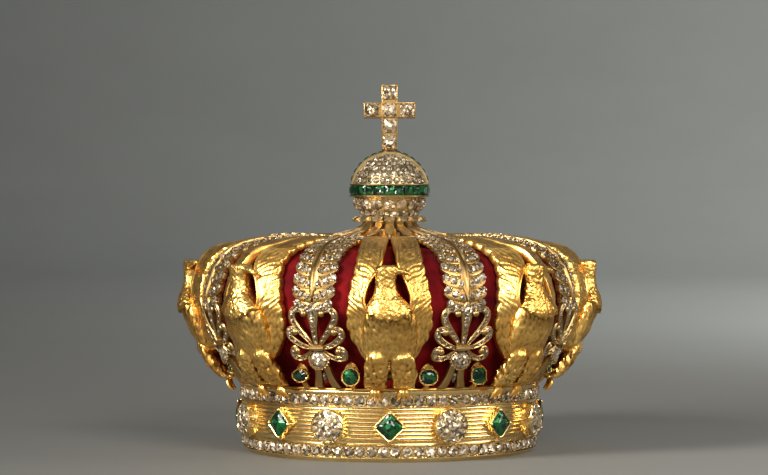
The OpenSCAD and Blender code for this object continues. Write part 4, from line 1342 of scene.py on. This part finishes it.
def build_cap():
    """The velvet: puffed between the arches, drawn in above the rim, with soft folds."""
    end_s = s_at_row(15)

    def place(angle, share, radial):
        s = np.clip(share, 0, 1) ** 0.92 * end_s
        t = np.interp(s, LINE_S, fine_t)
        from_strip = np.abs(((angle + math.pi / 2) / SECTOR + 0.5) % 1 - 0.5) - 0.31
        strip = np.exp(-(from_strip / 0.09) ** 2)
        folds = 0.32 * np.sin(angle * 40 + 2.0 * np.sin(s * 0.09))
        folds = folds + 0.16 * np.sin(angle * 67 + s * 0.12 + 1.3 * np.sin(angle * 5))
        creases = folds * ramp(-s, -30, -8) + 0.35 * folds * ramp(s, 30, 60)
        puff = 0.75 * strip * np.interp(t, (0, 2, 5, 9, 11, 16), (0, 0.4, 1, 1, 0.2, 0))
        puckers = np.sin(s * 0.42 + 2.2 * np.sin(angle * 4 + 1.0)) * np.sin(angle * 31 + s * 0.16)
        lift = puff + creases + 0.75 * strip * puckers - ARCH_T - 1.0 - 1.6 * np.clip(1 - t / 3, 0, 1)
        low = ramp(-s, -4, 0)
        r = (along(s, LINE_R) + lift * along(s, LINE_NR)) * (1 - low) + VELVET_FOOT_R * low
        z = (along(s, LINE_Z) + lift * along(s, LINE_NZ)) * (1 - low) + VELVET_FOOT_Z * low
        return np.stack([r * np.cos(angle) * radial, r * np.sin(angle) * radial, z], -1) * MM

    def under(middle, way):
        return middle.z < (VELVET_FOOT_Z + 0.01) * MM and middle.xy.length < (VELVET_FOOT_R - 1) * MM

    piece = column("velvet", 256, 64, place)
    choose_faces(piece, under)
    bpy.ops.mesh.delete(type="FACE")
    clear()
    finish_with(piece, "SOLIDIFY", thickness=VELVET_T * MM, offset=-1.0, use_even_offset=False)
    bpy.ops.object.shade_smooth()
    # Painted light: the velvet is made lighter towards the rim, where the arches shade it
    mark(piece, "lit", 0.45 * ramp(-points_of(piece)[:, 2] / MM, -58, -34))
    dress(piece, VELVET, "velvet", "velvet_cap")


# Collar, globe and cross
# Leaves of the collar: radius and height along them, half widths, lift in the middle, how much
# their edges rise, and lift of the back
CURL = ([(8.6, 78.6), (8.7, 79.8), (9.2, 81.0), (10.1, 81.9), (11.3, 82.2), (12.3, 82.0), (12.7, 81.3)],
        (1.0, 1.2, 1.5, 1.9, 2.0, 1.5, 0.5), 0.25, 0.25, -0.9)
TONGUE = ([(20.2, 76.5), (17.4, 77.1), (14.6, 77.9), (12.2, 78.7), (10.5, 79.5), (9.5, 80.6), (9.2, 81.6)],
          (0.2, 1.0, 1.5, 1.5, 1.3, 1.15, 1.0), -0.7, 0.3, 0.35)


def collar_leaf(path, widths, lift, edges, bottom, turn):
    def place(u, v, lift):
        t = v * (len(path) - 1)
        r, z = smooth(path, t).T
        dr, dz = direction(path, t).T
        return wrapped(r + lift * dz, u * smooth(widths, t), z - lift * dr, np.maximum(r, 1), turn)

    return plate("leaf", 6, 16, place, lambda u, v: lift + edges * np.abs(u), bottom)


def build_collar():
    """The neck, with a tongue up from each arch and a leaf that curls out above it."""
    parts = [turned("core", [(2.0, 77.45), (7.4, 77.45), (7.6, 78.6), (7.6, 80.4), (8.2, 81.8), (7.9, 82.3),
                             (2.0, 82.35)], 48)]
    for k in range(2 * COUNT):
        parts += [collar_leaf(*leaf, k * SECTOR / 2) for leaf in (CURL, TONGUE)]
    piece = outward(joined("leaf_collar", parts))
    soften(piece, 50)
    # Painted shade on the collar's core between the leaves
    mark(piece, "hollow", np.where(np.hypot(*points_of(piece)[:, :2].T) < 8.3 * MM, 0.5, 0.0))
    dress(piece, COLLAR_GOLD, "gold", "collar")


# Rows of pave above the belt, and the number of stones in the other rings of the globe
PAVE_ROWS = 6
PAVE_R = 1.24
PAVE_LOW = 0.275
PAVE_STEP = 0.19
ROW_STONES = 17
BELT_STONES = 24
BAND_STONES = 13
GLOBE_GRAINS = 40


def globe_seat(turn, rise, lift):
    """A place on the globe at an angle round it and an angle above its middle."""
    out = Vector((math.cos(rise) * math.sin(turn), -math.cos(rise) * math.cos(turn), math.sin(rise)))
    return Vector((0, 0, GLOBE_Z * MM)) + out * (GLOBE_R + lift) * MM, out, Vector((0, 0, 1)) - out * out.z


def globe_ring(count, offset, rise, lift, size):
    """Places of a ring of stones round the globe."""
    seats = [globe_seat(TURN * (i + offset) / count, rise, lift) for i in range(count)]
    return [seated(seat, size, spin_of()) for seat in seats]


def build_globe():
    ball = start(bpy.ops.mesh.primitive_uv_sphere_add, "ball", segments=64, ring_count=40,
                 radius=GLOBE_R * MM, location=(0, 0, GLOBE_Z * MM))
    bpy.ops.object.transform_apply(location=True)
    edit(ball)
    bpy.ops.mesh.bisect(plane_co=(0, 0, (COLLAR_TOP + 0.12) * MM), plane_no=(0, 0, 1), clear_inner=True,
                        use_fill=True)
    # The band over the top: a flat arch in the plane of the cross, with raised edges
    first = math.asin((BELT_H / 2 + 0.15) / HOOP_R)

    def hoop(u, v, lift):
        a = first + v * (math.pi - 2 * first)
        r = HOOP_R + lift
        return np.stack([r * np.cos(a), u * HOOP_W / 2, GLOBE_Z + r * np.sin(a)], -1) * MM

    def hoop_top(u, v):
        edge = np.clip((np.abs(u) - 0.6) / 0.12, 0, 1) - 0.6 * np.clip((np.abs(u) - 0.88) / 0.12, 0, 1)
        return 0.6 * edge - 1.0

    parts = [ball, plate("hoop", 12, 72, hoop, hoop_top, -1.9)]
    # The belt's gold edges
    edge = [(12.5, 0), (14.1, 0), (14.35, 0.15), (14.35, 0.4), (14.1, 0.55), (12.5, 0.55)]
    for low in (GLOBE_Z - BELT_H / 2, GLOBE_Z + BELT_H / 2 - 0.55):
        parts.append(turned("belt_edge", [(r, low + z) for r, z in edge], 96))
    for part in parts:
        soften(part, 40)
    seats = [globe_seat(TURN * (i + 0.5) / GLOBE_GRAINS, -0.25, 0.15) for i in range(GLOBE_GRAINS)]
    grains = [seated(seat, (0.45,)) for seat in seats]
    piece = joined("gold_globe", [*parts, field("globe_grains", GRAIN, grains)])
    mark(piece, "hollow", 0.2)
    dress(piece, GLOBE_GOLD, "gold", "globe")


def build_globe_stones():
    """Pave above the belt, two rows below it, the belt's emeralds and those of the band."""
    pave = []
    for row in range(PAVE_ROWS):
        rise = PAVE_LOW + PAVE_STEP * row
        count = round(TURN * GLOBE_R * math.cos(rise) / (2 * PAVE_R + 0.05))
        for i in range(count):
            seat = globe_seat(TURN * (i + 0.5 * (row % 2)) / count, rise, 0.1)
            if abs(seat[0].y) > (HOOP_W / 2 + PAVE_R * 0.8) * MM:
                radius = PAVE_R * dice.uniform(0.95, 1.04)
                pave.append(seated(seat, (radius, radius, 1.4), spin_of()))
    dress(field("globe_pave", ROUND_CUT, pave), SHADED_PAVE, "diamond")
    upper_row = globe_ring(ROW_STONES, 0, -math.radians(24), 0.2, (2.12, 2.12, 1.9))
    dress(field("globe_row", ROUND_CUT, upper_row), DIAMOND, "diamond", "globe_diamonds")
    low_row = globe_ring(ROW_STONES, 0.5, -math.radians(42), 0.1, (1.7, 1.75, 1.6))
    dress(field("globe_low_row", ROUND_CUT, low_row), DIAMOND, "diamond")
    belt = [facing_out(TURN * i / BELT_STONES, GLOBE_R + 0.75, GLOBE_Z) @ sized(1.72, 1.72, 1.7)
            for i in range(BELT_STONES)]
    dress(field("belt_emeralds", SQUARE_CUT, belt), EMERALD, "emerald", "globe_emerald_band")
    band = []
    for i in range(BAND_STONES):
        a = math.radians(18 + 144 * i / (BAND_STONES - 1))
        # The cross stands on the middle of the band
        if i != BAND_STONES // 2:
            out = Vector((math.cos(a), 0, math.sin(a)))
            point = Vector((0, 0, GLOBE_Z * MM)) + out * (HOOP_R - 0.75) * MM
            band.append(seated((point, out, Vector((0, 1, 0))), (1.35, 1.45, 1.5)))
    dress(field("band_emeralds", SQUARE_CUT, band), DARK_EMERALD, "emerald")


CROSS_STEP = (ARM_Z - CROSS_Z - LIMB_W / 2) / 2
CROSS_STONE = 2.45
CROSS_CORNERS = (-2.35, 2.35)
ARM_X = (CROSS_SPAN - LIMB_W) / 2
# Width, height, thickness and middle of the two limbs
LIMBS = ((LIMB_W, CROSS_H, CROSS_T, CROSS_Z + CROSS_H / 2), (CROSS_SPAN, LIMB_W, CROSS_T - 0.1, ARM_Z))
CROSS_FOOT = [(0.3, 106.4), (2.6, 106.6), (2.8, 106.9), (2.2, 107.4), (0.3, 107.5)]
CROSS_PLACES = [(0, CROSS_Z + CROSS_H - LIMB_W / 2), (0, ARM_Z), (-ARM_X, ARM_Z), (ARM_X, ARM_Z),
                (0, ARM_Z - LIMB_W / 2 - CROSS_STEP / 2), (0, CROSS_Z + CROSS_STEP / 2)]


def build_cross():
    """Two limbs with thin edges, a cut-out for each stone and grains in the corners."""
    parts = []
    for w, h, t, z in LIMBS:
        limb = start(bpy.ops.mesh.primitive_cube_add, "limb", size=1)
        limb.data.transform(moved(0, 0, z) @ sized(w, t, h))
        finish_with(limb, "BEVEL", width=0.3 * MM, segments=2, limit_method="ANGLE")
        for way in BOTH:
            choose_faces(limb, lambda middle, normal: normal.y * way > 0.995)
            bpy.ops.mesh.inset(thickness=0.25 * MM)
            bpy.ops.transform.translate(value=(0, -way * 0.3 * MM, 0))
        parts.append(limb)
    grains, stones = [], []
    for x, z in CROSS_PLACES:
        for turn, way in ((0, 1), (math.pi, -1)):
            place = facing_out(turn, CROSS_T / 2 - 0.35, z) @ moved(way * x, 0, 0)
            stones.append(place @ sized(CROSS_STONE, CROSS_STONE, 2.4))
            grains += [place @ moved(across, up, 0.45) @ sized(GRAIN_R)
                       for across in CROSS_CORNERS for up in CROSS_CORNERS]
    parts.append(turned("cross_foot", CROSS_FOOT, 24))
    piece = joined("latin_cross", [*parts, field("cross_grains", GRAIN, grains)])
    soften(piece, 40)
    mark(piece, "hollow", 0.0)
    dress(piece, SETTING_GOLD, "gold", "cross")
    dress(field("cross_stones", CUSHION_CUT, stones), DIAMOND, "diamond", "cross_diamonds")


# Stage: lengths are in metres
FLOOR_R = 1.9
FLOOR_STEPS = 8
# Painted light on the floor: how bright it is at a distance, as a share of 2 m
FLOOR_PAINTED_LIGHT = ((0.03, 0.115), (0.16, 0.10), (0.35, 0.108), (0.55, 0.140), (1.0, 0.25))
CROWN_MIDDLE = (0, 0, 0.055)
WARM, COOL = (1.0, 0.95, 0.87), (0.96, 1.0, 0.98)
# Place, size, power, colour and aim of each lamp
LAMPS = {
    "key": ((0.40, -1.0, 0.60), (0.45, 0.45), 13.6, WARM, CROWN_MIDDLE),
    "side": ((-0.85, -0.72, 0.54), (0.35, 0.45), 24.0, WARM, CROWN_MIDDLE),
    "far_side": ((0.95, -0.25, 0.40), (0.3, 0.45), 5.0, WARM, CROWN_MIDDLE),
    "top": ((0.0, 0.25, 1.2), (0.8, 0.8), 1.3, WARM, CROWN_MIDDLE),
    "low": ((-0.35, -1.1, 0.12), (0.3, 0.2), 1.0, WARM, CROWN_MIDDLE),
    "wall": ((0.9, 0.6, 0.55), (0.8, 0.6), 23.0, COOL, (0.5, 1.9, 0.2))}
CAMERA = (0, -1.0, 0.095)
CAMERA_AIM = (-0.002, 0, 0.0755)


def floor_material():
    """Pale mottled fabric with painted light: darker to the left and lighter far behind."""
    made, tree = material("pale_floor", Roughness=0.75)
    place = tree.place()
    away = tree.add("ShaderNodeVectorMath", {0: place}, operation="LENGTH").outputs[1]
    painted_falloff = tree.add("ShaderNodeValToRGB", {0: tree.times(away, 0.5)})
    stops = painted_falloff.color_ramp.elements
    for spot, shade in FLOOR_PAINTED_LIGHT[1:-1]:
        stops.new(spot)
    for stop, (spot, shade) in zip(stops, FLOOR_PAINTED_LIGHT):
        stop.position, stop.color = spot, (shade * 0.98, shade, shade * 0.97, 1)
    mottle = tree.times(tree.noise(place, 9.0, 4.0), 0.25)
    mottled_and_lit = tree.mix(mottle, painted_falloff.outputs[0], (0.14, 0.138, 0.13, 1))
    # Painted light: lighter to the right and darker to the left
    spot = tree.add("ShaderNodeSeparateXYZ", {0: place}).outputs
    aside = tree.math("DIVIDE", spot[0], tree.math("MAXIMUM", tree.plus(spot[1], 1.0), 0.5))
    light = tree.span(aside, -0.14, 0.14, 0.88, 1.5)
    light = tree.add("ShaderNodeCombineXYZ", {0: light, 1: light, 2: light}).outputs[0]
    tree.give(Base_Color=tree.vector("MULTIPLY", mottled_and_lit, light))
    return made


def aimed(name, spot, aim):
    """Names the lamp or camera just added and points it."""
    made = bpy.context.object
    made.name = name
    made.rotation_euler = (Vector(aim) - Vector(spot)).to_track_quat("-Z", "Y").to_euler()
    return made


def build_stage():
    """A pale floor that curves up far behind, soft lights and the camera."""
    floor = start(bpy.ops.mesh.primitive_circle_add, "floor", vertices=96, radius=FLOOR_R, fill_type="TRIFAN")
    choose_edges(floor, lambda a, b: a.length > FLOOR_R - 0.1 and b.length > FLOOR_R - 0.1)
    for step in range(1, FLOOR_STEPS + 1):
        share = step / FLOOR_STEPS
        bpy.ops.mesh.extrude_region_move(TRANSFORM_OT_translate={"value": (0, 0, 0.05 + 0.35 * share)})
        grow = 1 + 0.35 * (1 - share) ** 1.5 / FLOOR_R
        bpy.ops.transform.resize(value=(grow, grow, 1))
    pick(floor)
    bpy.ops.object.shade_smooth()
    floor.data.materials.append(floor_material())
    scene = bpy.context.scene
    scene.world = bpy.data.worlds.new("studio")
    scene.world.use_nodes = True
    sky = scene.world.node_tree.nodes["Background"].inputs
    sky[0].default_value, sky[1].default_value = (0.40, 0.42, 0.43, 1), 0.26
    for name, (spot, size, power, tone, aim) in LAMPS.items():
        bpy.ops.object.light_add(type="AREA", location=spot)
        lamp = aimed(name, spot, aim).data
        lamp.shape, lamp.color, lamp.energy = "RECTANGLE", tone, power
        lamp.size, lamp.size_y = size
    bpy.ops.object.camera_add(location=CAMERA)
    scene.camera = aimed("camera", CAMERA, CAMERA_AIM)
    scene.camera.data.lens, scene.camera.data.sensor_width = 131.3, 36
    scene.camera.data.clip_start, scene.camera.data.clip_end = 0.01, 20
    scene.view_settings.view_transform = "Standard"
    scene.view_settings.look = "None"


build_stage()
build_circlet()
build_row("lower_row", "lower_diamonds", LOWER_FLOOR_R, LOWER_Z, LOWER_H, 0.94)
build_row("upper_row", "upper_diamonds", UPPER_FLOOR_R, UPPER_Z, UPPER_H, 0.92)
build_band_stones()
build_rim()
build_eagles()
build_palmettes()
build_cap()
build_collar()
build_globe()
build_globe_stones()
build_cross()
drop(ROUND_CUT, SMALL_CUT, CUSHION_CUT, SQUARE_CUT, GRAIN, BALL)
